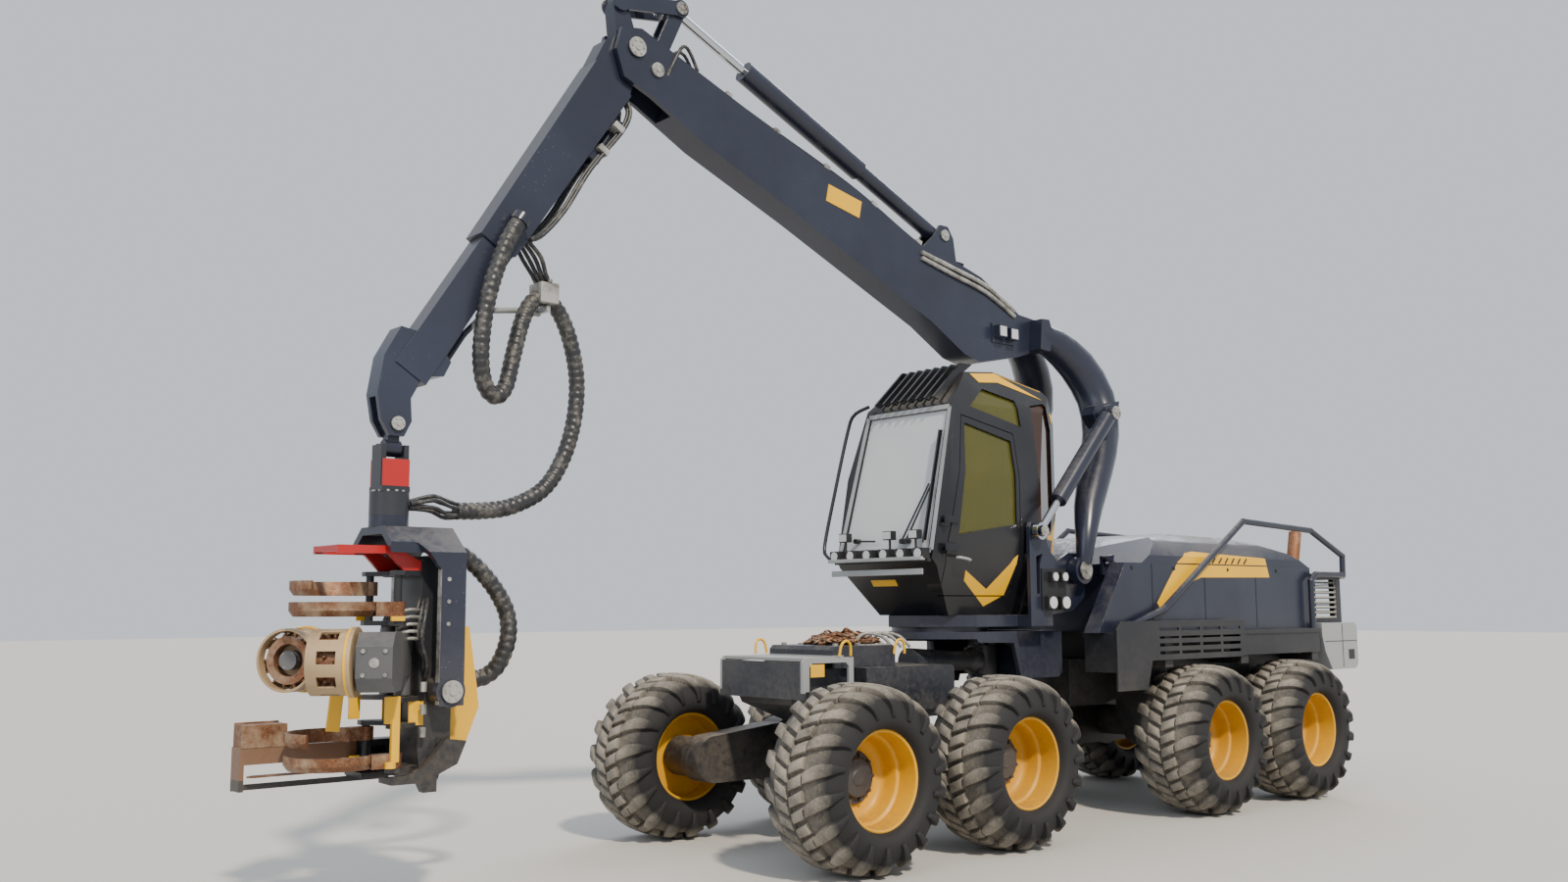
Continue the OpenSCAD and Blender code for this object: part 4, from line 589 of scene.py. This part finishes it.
EDGE_MM = {
    "hood": 14, "cowl": 9, "boom": 8, "jib": 6, "extension": 6, "cab_shell": 8, "rear_grille": 2,
    "upper_knife_left": 14, "upper_knife_right": 14, "lower_knife_left": 14, "lower_knife_right": 14,
}
USUAL_EDGE_MM = 4


def ease_edges(node, width):
    # Welds the node's loose triangles, drops the flat ones and rounds what is left
    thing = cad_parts[node]
    for face in thing.data.polygons:
        face.use_smooth = True
    weld = thing.modifiers.new("Weld", "WELD")
    weld.merge_threshold = WELD
    flat = thing.modifiers.new("Flats", "DECIMATE")
    flat.decimate_type = "DISSOLVE"
    flat.angle_limit = math.radians(0.5)
    soft = thing.modifiers.new("Eased edges", "BEVEL")
    soft.width = width
    soft.segments = 2
    soft.limit_method = "ANGLE"
    soft.angle_limit = math.radians(32)
    thing.modifiers.new("Normals", "WEIGHTED_NORMAL")


for finish, names in NODE_FINISH.items():
    for name in names:
        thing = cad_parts[name]
        thing.data.materials.clear()
        thing.data.materials.append(finish)
        ease_edges(name, EDGE_MM.get(name, USUAL_EDGE_MM) / 1000)


# Window panes: 10 mm polycarbonate in rubber. The windscreen's pale whitish colour and lower transmission
# are a painted reflection of the bright sky; the side panes carry an olive sun film and the rear ones a brown
# one; one finish tells them apart by place.
SCREEN_X, SCREEN_LEAN = 0.955, 0.26
pane, shader = new_finish("pane_polycarbonate", IOR=1.49)
spot = add(pane, "ShaderNodeTexCoord").outputs["Object"]
parts = add(pane, "ShaderNodeSeparateXYZ", {0: spot}).outputs
lean = add(pane, "ShaderNodeMath", {0: parts["Z"], 1: SCREEN_LEAN, 2: parts["X"]},
           operation="MULTIPLY_ADD").outputs[0]
front = spread(pane, lean, SCREEN_X - 0.09, SCREEN_X - 0.085)
rear = spread(pane, parts["X"], -0.90, -0.91)
film_and_reflection = blend_two(pane, rear, linear("#8c8a2a"), linear("#6a4630"))
# Painted reflection: the windscreen gets a pale whitish colour that stands in for the sky it mirrors
film_and_reflection = blend_two(pane, front, film_and_reflection, linear("#dfe4e8"))
joined(pane, shader, Base_Color=film_and_reflection, Transmission_Weight=spread(pane, front, 0.0, 1.0, 0.80, 0.42),
       Roughness=spread(pane, front, 0.0, 1.0, 0.04, 0.16))
for name in ("cab_glass", "door_glass"):
    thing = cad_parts[name]
    thing.data.materials.clear()
    thing.data.materials.append(pane)


# Cab trim: a grey pressed frame and black wipers at the windscreen, a bent guard tube at its
# far edge, a door handle, and yellow vinyl cut out for the door, the roof's edge and the side.
def slat(shape, a, b, width, thick, facing):
    # Flat bar between two points, its broad side towards facing
    a, b = Vector(a), Vector(b)
    run = (b - a).normalized()
    across = Vector(facing).cross(run).normalized()
    turn = Matrix((run, across, run.cross(across))).transposed().to_4x4()
    size = Matrix.Diagonal(((b - a).length, width, thick, 1))
    bmesh.ops.create_cube(shape, size=1, matrix=Matrix.Translation((a + b) / 2) @ turn @ size)


def screen(y, z, out=0.0):
    # Point on the windscreen's outer face
    return Vector((SCREEN_X - SCREEN_LEAN * z + out, y, z))


def bent(shape, points, radius, sides, step):
    # Bent tube or hose through the points
    tube(shape, smooth_route([Vector(q) for q in points], step)[0], radius, sides)


def skin(outline, off, over=None, under=None, levels=(), depth=0.004, sides=(1, -1)):
    # Thin sheet on one or both sides of the machine: an outline of (reach, height), laid at
    # off(reach, height) from the middle plane, kept over or under a height and creased at levels
    sheet = bmesh.new()
    for side in sides:
        made = bmesh.new()
        made.faces.new([made.verts.new((SLEW + d, 0, z)) for d, z in outline])
        for level in levels:
            bmesh.ops.bisect_plane(made, geom=made.verts[:] + made.edges[:] + made.faces[:],
                                   plane_co=(0, 0, level), plane_no=(0, 0, 1))
        for level, inner in ((over, True), (under, False)):
            if level is not None:
                bmesh.ops.bisect_plane(made, geom=made.verts[:] + made.edges[:] + made.faces[:],
                                       plane_co=(0, 0, level), plane_no=(0, 0, 1), clear_inner=inner,
                                       clear_outer=not inner)
        grown = bmesh.ops.extrude_face_region(made, geom=made.faces[:])["geom"]
        tops = {v for v in grown if isinstance(v, bmesh.types.BMVert)}
        for v in made.verts:
            v.co.y = side * (off(v.co.x - SLEW, v.co.z) + (depth if v in tops else -0.003))
        mesh = bpy.data.meshes.new("half")
        made.to_mesh(mesh)
        made.free()
        sheet.from_mesh(mesh)
        bpy.data.meshes.remove(mesh)
    return sheet


def width_at(table, z):
    # Half width at a height, from a table of (height, half width)
    for (z0, wide0), (z1, wide1) in zip(table, table[1:]):
        if z <= z1:
            break
    return wide0 + (z - z0) / (z1 - z0) * (wide1 - wide0)


CAB_HALF = [(1.76, 0.39), (2.24, 0.59), (2.50, 0.62), (3.0, 0.62), (3.62, 0.52), (3.96, 0.36)]
CAB_REAR, REAR_TAPER = -0.70, 0.5517


def cab_side(d, z):
    # Half width of the cab's outside, which draws in behind the door
    wide = width_at(CAB_HALF, z)
    return min(wide, 0.62 + (d - CAB_REAR) * REAR_TAPER if d < CAB_REAR else wide)


grey_trim = painted("grey_trim", "#9da0a1", "#86898b", 0.38, dusty=0.3)
black_trim = plain("black_trim", "#121317", Roughness=0.35)
lens_glass = plain("lamp_lens", "#dfe3e6", Roughness=0.08, IOR=1.5, Transmission_Weight=0.35)
vinyl = painted("yellow_vinyl", "#e6b00c", "#dca80c", 0.30, dust="#a98c50", dusty=0.3, chipped=0.1)

shape = bmesh.new()
SCREEN_FACE = (1, 0, SCREEN_LEAN)
SCREEN_CORNERS = [(0.545, 2.335), (0.490, 3.565), (-0.490, 3.565), (-0.545, 2.335)]
corners = [screen(y, z, 0.004) for y, z in SCREEN_CORNERS]
for a, b in zip(corners, corners[1:] + corners[:1]):
    slat(shape, a, b, 0.050, 0.014, SCREEN_FACE)
slat(shape, (0.47, -0.56, 2.268), (0.47, 0.56, 2.268), 0.05, 0.03, (0, 0, 1))
slat(shape, (0.445, -0.56, 2.16), (0.475, 0.56, 2.16), 0.012, 0.05, (0, 0, 1))
piece("screen_frame", shape, grey_trim, "upper", bevel=0.004)

shape = bmesh.new()
WIPER_ARMS = [(0.43, 2.90, 0.22, 2.42), (0.46, 2.90, 0.27, 2.42), (0.445, 3.36, 0.470, 2.40),
              (-0.10, 2.43, -0.34, 2.44)]
WIPER_PINS = [(0.22, 2.42), (0.27, 2.42), (-0.34, 2.44)]
for y0, z0, y1, z1 in WIPER_ARMS:
    bar(shape, screen(y0, z0, 0.045), screen(y1, z1, 0.045), 0.008, sides=8)
slat(shape, screen(0.455, 3.36, 0.03), screen(0.478, 2.42, 0.03), 0.018, 0.012, SCREEN_FACE)
for y, z in WIPER_PINS:
    bar(shape, screen(y, z, 0.0), screen(y, z, 0.055), 0.022, sides=12)
bent(shape, [(0.07, -0.46, 3.66), (0.10, -0.62, 3.60), (0.12, -0.685, 3.45), (0.27, -0.70, 2.9),
             (0.40, -0.70, 2.42), (0.43, -0.64, 2.32), (0.44, -0.55, 2.27)], 0.016, 12, 0.05)
piece("screen_guard", shape, black_trim, "upper", angle=50)
shape = bmesh.new()
bent(shape, [(0.02, 0.655, 2.25), (0.03, 0.675, 2.26), (0.14, 0.675, 2.275), (0.15, 0.64, 2.275)],
     0.012, 10, 0.02)
piece("door_handle", shape, grey_trim, "door", angle=50)

# Yellow vinyl: chevron over the door's foot, arc along the roof's edge, panel under the rear
# pane. The chevron is cut at the door's lower seam, and only the near door opens.
CHEVRON = [(0.279, 2.176), (0.262, 2.09), (-0.075, 1.875), (-0.300, 1.972), (-0.362, 2.315), (-0.318, 2.290),
           (-0.050, 2.020)]
ROOF_ARC = [(-0.02, 3.900), (-0.36, 3.938), (-0.93, 3.822), (-1.215, 3.590), (-1.165, 3.545), (-0.91, 3.735),
            (-0.36, 3.850), (-0.10, 3.825)]
REAR_FLAG = [(-0.655, 2.473), (-0.70, 2.300), (-1.030, 2.290), (-1.265, 2.733), (-1.03, 2.520)]
SEAM_TOP, SEAM_FOOT = 1.969, 1.958
for name, side, body in (("chevron", 1, "door"), ("chevron_far", -1, "upper")):
    shape = skin(CHEVRON, cab_side, over=SEAM_TOP, levels=(2.24,), sides=(side,))
    piece(name, shape, vinyl, body)
piece("chevron_foot", skin(CHEVRON, cab_side, under=SEAM_FOOT), vinyl, "upper")
piece("roof_arc", skin(ROOF_ARC, cab_side, levels=(3.62,)), vinyl, "upper")
piece("rear_flag", skin(REAR_FLAG, cab_side, levels=(2.5,)), vinyl, "upper")
shape = bmesh.new()
slat(shape, (0.335, -0.17, 2.075), (0.335, 0.12, 2.075), 0.06, 0.006, (1, 0, -0.62))
piece("bonnet_plate", shape, vinyl, "upper")

# Lamps: clear lenses in black moulded shells, six under the windscreen and three on stalks in
# front of it. The shells on the brackets and the boom are packed, so they get lenses alone.
LAMP_BAR_Z, BRACKET_LAMP_Y = 2.31, 0.752
BRACKET_LAMPS = [(-0.64, 1.905, 0.052), (-0.82, 1.905, 0.052), (-0.68, 2.13, 0.036), (-0.815, 2.13, 0.036)]
shape = bmesh.new()
shells = bmesh.new()
for k in range(6):
    y = -0.5 + 0.2 * k
    bar(shape, (0.466, y, LAMP_BAR_Z), (0.476, y, LAMP_BAR_Z), 0.040, sides=24)
    bar(shells, (0.455, y, LAMP_BAR_Z), (0.473, y, LAMP_BAR_Z), 0.047, sides=24)
for y in (-0.42, 0.12, 0.42):
    slat(shells, screen(y - 0.05, 2.47, 0.10), screen(y + 0.05, 2.47, 0.10), 0.075, 0.06, (1, 0, 0))
    slat(shape, screen(y - 0.042, 2.47, 0.133), screen(y + 0.042, 2.47, 0.133), 0.06, 0.006, (1, 0, 0))
    bar(shells, screen(y, 2.34, 0.06), screen(y, 2.45, 0.09), 0.010, sides=8)
for side in (1, -1):
    for d, z, size in BRACKET_LAMPS:
        face = at_crane(d, side * BRACKET_LAMP_Y, z)
        bar(shape, face, face + Vector((0, side * 0.005, 0)), size, sides=24)
piece("cab_lamp_shells", shells, lamp_shell, "upper", angle=40)
piece("cab_lamp_lenses", shape, lens_glass, "upper", angle=40)
shape = bmesh.new()
for k in range(2):
    spot = at_crane(-0.69 - 0.16 * k, 0.2235, 4.39 - 0.01 * k)
    slat(shape, spot + Vector((-0.045, 0, 0)), spot + Vector((0.045, 0, 0)), 0.09, 0.006, (0, 1, 0))
piece("boom_lamp_lenses", shape, lens_glass, "boom")


# Crane fittings: turned steel pin caps with rings of screws, pipes clamped on the boom's top,
# the hoses that run down the jib beside the telescope's ram, and a bare yellow plate. Places
# are given from the slewing axis, as (reach, y, z).
CAP_SCREWS = 6


def crane_slat(shape, a, b, width, thick, facing=(0, 1, 0)):
    slat(shape, at_crane(*a), at_crane(*b), width, thick, facing)


def crane_bar(shape, a, b, radius, end=None, sides=20):
    bar(shape, at_crane(*a), at_crane(*b), radius, end, sides)


def laid(shape, points, radius):
    # Bent hose or pipe
    bent(shape, [at_crane(*q) for q in points], radius, 10, 0.04)


def pin_cap(shape, reach, z, y, radius, out=0.014):
    # Round cap with a ring of screws on both sides
    for side in (1, -1):
        low, high = at_crane(reach, side * y, z), at_crane(reach, side * (y + out), z)
        bar(shape, low, high, radius, sides=28)
        bar(shape, high, high + Vector((0, side * 0.008, 0)), radius * 0.35, sides=16)
        for k in range(CAP_SCREWS):
            around = 2 * math.pi * k / CAP_SCREWS
            turn = Vector((math.cos(around), 0, math.sin(around))) * radius * 0.7
            bar(shape, high + turn, high + turn + Vector((0, side * 0.007, 0)), radius * 0.11, sides=6)


steel_cap = rubbed_steel("turned_steel", "#6b665f", "#4c4945", "#a9a9a6", 0.42)
ELBOW = (3.35, 6.05)
PINS = [
    # name, what it rides on, reach, height, half width over the lugs, radius
    ("pin_elbow", "boom", *ELBOW, 0.144, 0.075), ("pin_rocker", "boom", 3.16, 5.92, 0.139, 0.055),
    ("pin_link", "rocker", 2.90, 6.50, 0.091, 0.050), ("pin_ram", "boom", -0.04, 5.20, 0.109, 0.050),
    ("pin_fork", "upper", -1.04, 2.19, 0.803, 0.080), ("pin_lift_top", "boom", -1.54, 3.64, 0.818, 0.060),
    ("pin_lift_foot", "upper", -0.49, 2.52, 0.794, 0.045), ("pin_tip", "extension", 5.15, 3.06, 0.094, 0.045),
    ("pin_tilt", "tilt_frame", 4.87, 1.36, 0.374, 0.070),
]
for name, body, reach, z, y, radius in PINS:
    shape = bmesh.new()
    pin_cap(shape, reach, z, y, radius)
    piece(name, shape, steel_cap, body, angle=30)


# Four pipes along the boom's top under clamps, and two at the near side of its root
LINE_YS = [-0.09 + 0.06 * k for k in range(4)]
shape = bmesh.new()
for y in LINE_YS:
    laid(shape, [(-0.30, y, 4.975), (0.22, y, 5.045), (1.09, y, 5.425), (2.05, y, 5.758), (2.60, y, 5.955),
                 (2.78, y * 0.9, 6.035)], 0.014)
piece("boom_pipes", shape, black_trim, "boom", angle=50)
shape = bmesh.new()
for d, z in ((0.30, 5.065), (0.85, 5.308), (1.40, 5.520), (1.95, 5.708), (2.45, 5.890)):
    crane_slat(shape, (d, -0.125, z + 0.012), (d, 0.125, z + 0.012), 0.06, 0.045, (-0.36, 0, 1))
for heights in ((4.62, 4.80, 4.90, 4.98), (4.57, 4.74, 4.84, 4.93)):
    root = zip((-0.95, -0.55, -0.1, 0.30), (0.142, 0.150, 0.150, 0.148), heights)
    laid(shape, list(root), 0.020)
piece("boom_clamps", shape, steel_cap, "boom", bevel=0.003)
shape = bmesh.new()
crane_slat(shape, (1.42, 0.1375, 5.308), (1.04, 0.1375, 5.228), 0.150, 0.005)
piece("boom_plate", shape, vinyl, "boom")

# Jib: telescope ram and a clamped bundle of hoses on the side towards the machine
jib_run = (at_crane(5.09, 0, 3.36) - at_crane(ELBOW[0], 0, ELBOW[1])).normalized()
jib_out = Vector((-jib_run.z, 0, jib_run.x))


def on_jib(u, y, v):
    # Along the jib from the elbow pin, sideways, and away from the machine
    return at_crane(ELBOW[0], y, ELBOW[1]) + jib_run * u + jib_out * v


shape = bmesh.new()
bar(shape, on_jib(0.55, 0, -0.245), on_jib(1.00, 0, -0.240), 0.045, sides=24)
slat(shape, on_jib(0.50, 0, -0.20), on_jib(0.66, 0, -0.20), 0.16, 0.05, (0, 1, 0))
slat(shape, on_jib(0.93, -0.09, -0.19), on_jib(0.93, 0.09, -0.19), 0.16, 0.08, tuple(jib_run))
piece("telescope_ram", shape, charcoal, "jib", bevel=0.004)
shape = bmesh.new()
for k, y in enumerate((-0.085, -0.055, 0.058, 0.086, 0.112)):
    wave = 0.012 * (k % 3)
    bundle = [(0.36, y * 0.6, -0.17), (0.44, y * 0.9, -0.24 - wave), (0.62, y, -0.265 - wave),
              (1.05, y, -0.225 - wave), (1.45, y, -0.235 - wave), (1.72, y + 0.01, -0.20 - wave),
              (1.84, y + 0.02, -0.15)]
    bent(shape, [on_jib(*q) for q in bundle], 0.015, 10, 0.04)
piece("jib_hoses", shape, guard_pvc, "jib", angle=50)
shape = bmesh.new()
for u in (0.62, 0.86):
    slat(shape, on_jib(u, -0.115, -0.235), on_jib(u, 0.13, -0.235), 0.05, 0.09, tuple(jib_out))
piece("jib_clamps", shape, steel_cap, "jib", bevel=0.003)

# Where the loop starts, a forged saddle on the telescope takes the bundle from the jib
shape = bmesh.new()
crane_slat(shape, (3.95, -0.01, 4.085), (4.10, -0.01, 4.085), 0.17, 0.15, (0, 0, 1))
for y in (-0.09, 0.07):
    crane_bar(shape, (4.025, y, 4.155), (4.025, y, 4.185), 0.018, sides=6)
piece("hose_saddle", shape, steel_cap, "extension", bevel=0.012)
shape = bmesh.new()
for k, y in enumerate((-0.05, -0.015, 0.02, 0.055)):
    laid(shape, [(4.225, y * 1.5, 4.43), (4.17 - 0.02 * k, y * 1.4, 4.33), (4.10 - 0.015 * k, y, 4.22),
                 (4.06 - 0.015 * k, y, 4.15)], 0.016)
piece("saddle_hoses", shape, guard_pvc, "extension", angle=50)

# Elbow: four short hoses that cross from the boom's top to the rocker, in a loose bow
shape = bmesh.new()
for k, y in enumerate(LINE_YS):
    laid(shape, [(2.74, y, 6.03), (2.83, y, 6.12 + 0.02 * k), (2.93, y * 1.5, 6.10 + 0.02 * k),
                 (3.02, y * 1.6, 6.00), (3.06, y * 1.4, 5.90)], 0.014)
piece("elbow_hoses", shape, guard_pvc, "boom", angle=50)


# Hood trim: a stripe of yellow vinyl that sweeps up the side panel and runs back over the lid's
# edge, six louvres low in the lid's side, and round latches and joints in the panels under it.
STRIPE = [(-1.816, 1.897), (-1.988, 2.086), (-2.170, 2.279), (-2.311, 2.359), (-2.456, 2.380),
          (-3.687, 2.336), (-3.756, 2.150), (-2.534, 2.137), (-2.373, 2.089), (-1.898, 1.802)]
HOOD_HALF = [(1.5, 1.0), (2.33, 1.0), (2.47, 0.89)]
PANEL_TOP, LID_FOOT = 2.254, 2.266


def hood_side(d, z):
    return width_at(HOOD_HALF, z)


piece("stripe_low", skin(STRIPE, hood_side, under=PANEL_TOP), vinyl, "rear")
piece("stripe_high", skin(STRIPE, hood_side, over=LID_FOOT, levels=(2.33,)), vinyl, "lid")
shape = bmesh.new()
for side in (1, -1):
    for k in range(6):
        d = -2.74 - 0.11 * k
        crane_slat(shape, (d, side * 1.001, 2.275), (d - 0.05, side * 1.001, 2.325), 0.016, 0.016,
                   (0, side, 0))
piece("lid_louvres", shape, black_trim, "lid")
shape = bmesh.new()
for side in (1, -1):
    for d in (-1.45, -2.1, -3.0, -3.9):
        crane_bar(shape, (d, side * 0.998, 2.215), (d, side * 1.006, 2.215), 0.018, sides=16)
    for d in (-1.75, -2.6, -3.5):
        crane_slat(shape, (d, side * 1.0, 1.66), (d, side * 1.0, 2.25), 0.006, 0.006, (0, side, 0))
piece("panel_latches", shape, black_trim, "rear", angle=40)

# Tail: two joints and a dark catch plate on either side of the grey box
TAIL_Y = 1.101
shape = bmesh.new()
for side in (1, -1):
    crane_slat(shape, (-5.28, side * TAIL_Y, 1.50), (-4.62, side * TAIL_Y, 1.50), 0.006, 0.005, (0, side, 0))
    crane_slat(shape, (-4.98, side * TAIL_Y, 1.23), (-4.98, side * TAIL_Y, 1.68), 0.006, 0.005, (0, side, 0))
    crane_slat(shape, (-5.10, side * TAIL_Y, 1.36), (-5.22, side * TAIL_Y, 1.36), 0.10, 0.005, (0, side, 0))
piece("tail_seams", shape, black_trim, "rear")


# Front deck: a heap of worn chain links in the deck's middle, yellow strap handles at its
# corners, rails, screws and hoses round the heap, and a bare yellow plate on the grey nose.
HEAP = (0.86, 0.02, 1.595)
FULL_TURN = 6.283


def chain_heap(seed, count):
    # Links thrown at random places and angles, closer and higher towards the middle
    shape = bmesh.new()
    state = seed
    rolls = []
    for _ in range(count * 6):
        state = (state * 16807) % 2147483647
        rolls.append(state / 2147483647)
    ring = [Vector((0.040 * math.cos(t) + (0.018 if math.cos(t) > 0 else -0.018), 0.026 * math.sin(t), 0))
            for t in (2 * math.pi * n / 12 for n in range(13))]
    for k in range(count):
        a, b, c, d, e, f = rolls[6 * k:6 * k + 6]
        reach = 0.275 * math.sqrt(a)
        where = Vector(HEAP) + Vector((reach * math.cos(FULL_TURN * b), reach * math.sin(FULL_TURN * b),
                                       0.085 * (1 - a) * c))
        turn = (Matrix.Rotation(FULL_TURN * d, 4, "Z") @ Matrix.Rotation(1.2 * (e - 0.5), 4, "X")
                @ Matrix.Rotation(1.2 * (f - 0.5), 4, "Y"))
        tube(shape, [Matrix.Translation(where) @ turn @ q for q in ring], 0.0085, 6)
    return shape


piece("chain_heap", chain_heap(11, 150), worn_steel, "front", angle=60)
shape = bmesh.new()
for x, y in ((1.30, 0.505), (0.62, 0.42), (1.30, -0.505), (0.62, -0.42)):
    bent(shape, [(x - 0.06, y, 1.50), (x - 0.045, y * 1.02, 1.585), (x, y * 1.03, 1.615),
                 (x + 0.045, y * 1.02, 1.585), (x + 0.06, y, 1.50)], 0.011, 8, 0.02)
slat(shape, (1.515, 0.5015, 1.395), (1.655, 0.5015, 1.395), 0.095, 0.004, (0, 1, 0))
piece("strap_handles", shape, vinyl, "front", angle=50)
shape = bmesh.new()
for y in (-0.34, 0.34):
    slat(shape, (1.02, y, 1.574), (0.66, y, 1.574), 0.05, 0.012, (0, 0, 1))
for x in (0.72, 0.98, 1.22):
    for y in (-0.31, 0.31):
        bar(shape, (x, y, 1.565), (x, y, 1.590), 0.022, sides=6)
for k in range(3):
    back = 0.1 * k
    laid(shape, [(1.24 - back, 0.20 - 0.03 * k, 1.56), (1.20 - back, 0.28, 1.66), (1.05 - back, 0.33, 1.64),
                 (0.95 - back, 0.36, 1.55)], 0.013)
piece("deck_fittings", shape, steel_cap, "front", angle=40)


# Head details: studded worn drums inside the feed rollers and yellow toothed flanges on them,
# screws on their motor housings, loops of hose, and the rotator's screws and hoses.
FEED_TURN = math.radians(37)
ROLLER_X, ROLLER_Y, ROLLER_Z = 5.60, 0.30, 1.56
TEETH, STUD_ROWS, STUDS, MOTOR_SCREWS = 30, 4, 14, 10
QUARTER = Matrix.Rotation(math.pi / 2, 4, "Y")
for side, hand in ((1, "left"), (-1, "right")):
    spot = Matrix.Translation(at_crane(ROLLER_X, side * ROLLER_Y, ROLLER_Z))
    spot = spot @ Matrix.Rotation(-side * FEED_TURN, 4, "Z")
    body = "feed_roller_l" if side > 0 else "feed_roller_r"
    shape = bmesh.new()
    for k in range(TEETH):
        around = spot @ Matrix.Rotation(2 * math.pi * k / TEETH, 4, "X")
        tooth = Matrix.Translation((-0.117, 0, 0.200)) @ Matrix.Diagonal((0.020, 0.020, 0.018, 1))
        bmesh.ops.create_cube(shape, size=1, matrix=around @ tooth)
    lathe(shape, [(0.1995, 0.0), (0.2095, 0.0), (0.2095, 0.016), (0.1995, 0.016), (0.1995, 0.0)],
          spot @ Matrix.Translation((-0.1065, 0, 0)) @ QUARTER, 48)
    piece("roller_flange_" + hand, shape, vinyl, body, bevel=0.002)
    shape = bmesh.new()
    lathe(shape, [(0.101, 0.04), (0.150, 0.04), (0.150, 0.225), (0.101, 0.225), (0.101, 0.04)],
          spot @ Matrix.Translation((-0.13, 0, 0)) @ QUARTER, 32)
    for row in range(STUD_ROWS):
        x = -0.065 + 0.045 * row
        bars_round(shape, spot, STUDS, (x, 0, 0.148), (x, 0, 0.178), 0.014, end=0.006, start=0.5 * (row % 2))
    piece("roller_studs_" + hand, shape, worn_steel, body, angle=30)
    shape = bmesh.new()
    bars_round(shape, spot, MOTOR_SCREWS, (-0.157, 0, 0.115), (-0.147, 0, 0.115), 0.010)
    for z in (-0.07, 0.07):
        for x in (-0.33, -0.20):
            bars_round(shape, spot, 1, (x, side * 0.166, z), (x, side * 0.176, z), 0.014)
    bars_round(shape, spot, 1, (-0.265, side * 0.164, 0), (-0.265, side * 0.170, 0), 0.030, sides=24)
    piece("motor_screws_" + hand, shape, steel_cap, "feed_arm_" + hand[0], angle=30)

shape = bmesh.new()
for k, y in enumerate((0.17, 0.22, 0.27, -0.17, -0.22, -0.27)):
    z = 1.70 - 0.03 * (k % 3)
    laid(shape, [(4.97, y * 0.6, z - 0.25), (4.99, y, z - 0.12), (5.04, y * 1.05, z + 0.04),
                 (5.02, y * 1.05, z + 0.18), (4.96, y * 0.7, z + 0.30)], 0.013)
for k in range(7):
    turn = 2 * math.pi * k / 7
    y = math.sin(turn)
    laid(shape, [(4.86 + 0.03 * math.cos(turn), 0.05 * y, 2.20), (4.82, 0.12 * y, 2.10),
                 (4.80, 0.13 * y, 1.95), (4.86, 0.16 * y, 1.82)], 0.012)
piece("head_hoses_inner", shape, guard_pvc, "head", angle=50)

shape = bmesh.new()
for k in range(6):
    turn = 2 * math.pi * k / 6 + 0.3
    y, z = 0.042 * math.cos(turn), 0.042 * math.sin(turn)
    laid(shape, [(4.67, y, 2.52 + z), (4.76, y * 1.4, 2.53 + z * 1.4), (4.86, y * 1.9 + 0.02, 2.56 + z * 1.2),
                 (4.95, y * 2, 2.555 + z * 0.8), (5.04, y * 2, 2.54 + z * 0.5)], 0.014)
piece("collar_hoses", shape, guard_pvc, "rotator", angle=50)
shape = bmesh.new()
for k in range(12):
    turn = 2 * math.pi * k / 12
    spot = at_crane(5.15 + 0.104 * math.cos(turn), 0.104 * math.sin(turn), 2.617)
    bar(shape, spot, spot + Vector((0, 0, 0.016)), 0.011, sides=6)
piece("rotor_screws", shape, steel_cap, "rotator", angle=30)
shape = bmesh.new()
for side in (1, -1):
    for z in (2.06, 1.92, 1.78):
        crane_bar(shape, (4.90, side * 0.359, z), (4.90, side * 0.367, z), 0.014, sides=6)
    crane_slat(shape, (4.95, side * 0.335, 2.13), (4.95, side * 0.335, 1.28), 0.048, 0.004, (1, 0, 0))
piece("yoke_trim", shape, steel_cap, "tilt_frame", angle=30)

# Yellow brackets over the lower knives and beside the spine, the saw's top cover, valve lines
shape = bmesh.new()
for side in (1, -1):
    crane_slat(shape, (5.225, side * 0.265, 1.175), (5.225, side * 0.265, 1.34), 0.075, 0.02)
    crane_bar(shape, (5.215, side * 0.262, 0.905), (5.215, side * 0.262, 0.945), 0.034, sides=16)
    crane_slat(shape, (5.19, side * 0.258, 1.80), (5.19, side * 0.258, 1.83), 0.09, 0.02)
for side in (1, -1):
    crane_slat(shape, (5.02, side * 0.189, 1.15), (5.02, side * 0.189, 1.30), 0.10, 0.012)
crane_slat(shape, (5.19, 0.262, 1.34), (5.19, 0.262, 0.94), 0.052, 0.030)
crane_slat(shape, (5.47, 0.03, 1.35), (5.49, 0.03, 1.13), 0.085, 0.02)
piece("head_brackets", shape, vinyl, "head", bevel=0.003)
shape = bmesh.new()
crane_slat(shape, (5.64, -0.445, 1.06), (5.92, -0.445, 1.06), 0.24, 0.008)
crane_slat(shape, (5.64, -0.37, 1.10), (5.92, -0.37, 1.10), 0.14, 0.15)
piece("saw_cover", shape, worn_steel, "head", bevel=0.006)
shape = bmesh.new()
for k in range(5):
    z = 1.86 - 0.045 * k
    laid(shape, [(4.99, 0.20, z), (5.05, 0.235, z + 0.01), (5.12, 0.238, z + 0.01),
                 (5.16, 0.20, z - 0.01)], 0.011)
for k in range(3):
    crane_bar(shape, (5.00, 0.245, 1.36 - 0.14 * k), (5.00, 0.245, 1.42 - 0.14 * k), 0.020, sides=6)
piece("valve_lines", shape, steel_cap, "head", angle=40)
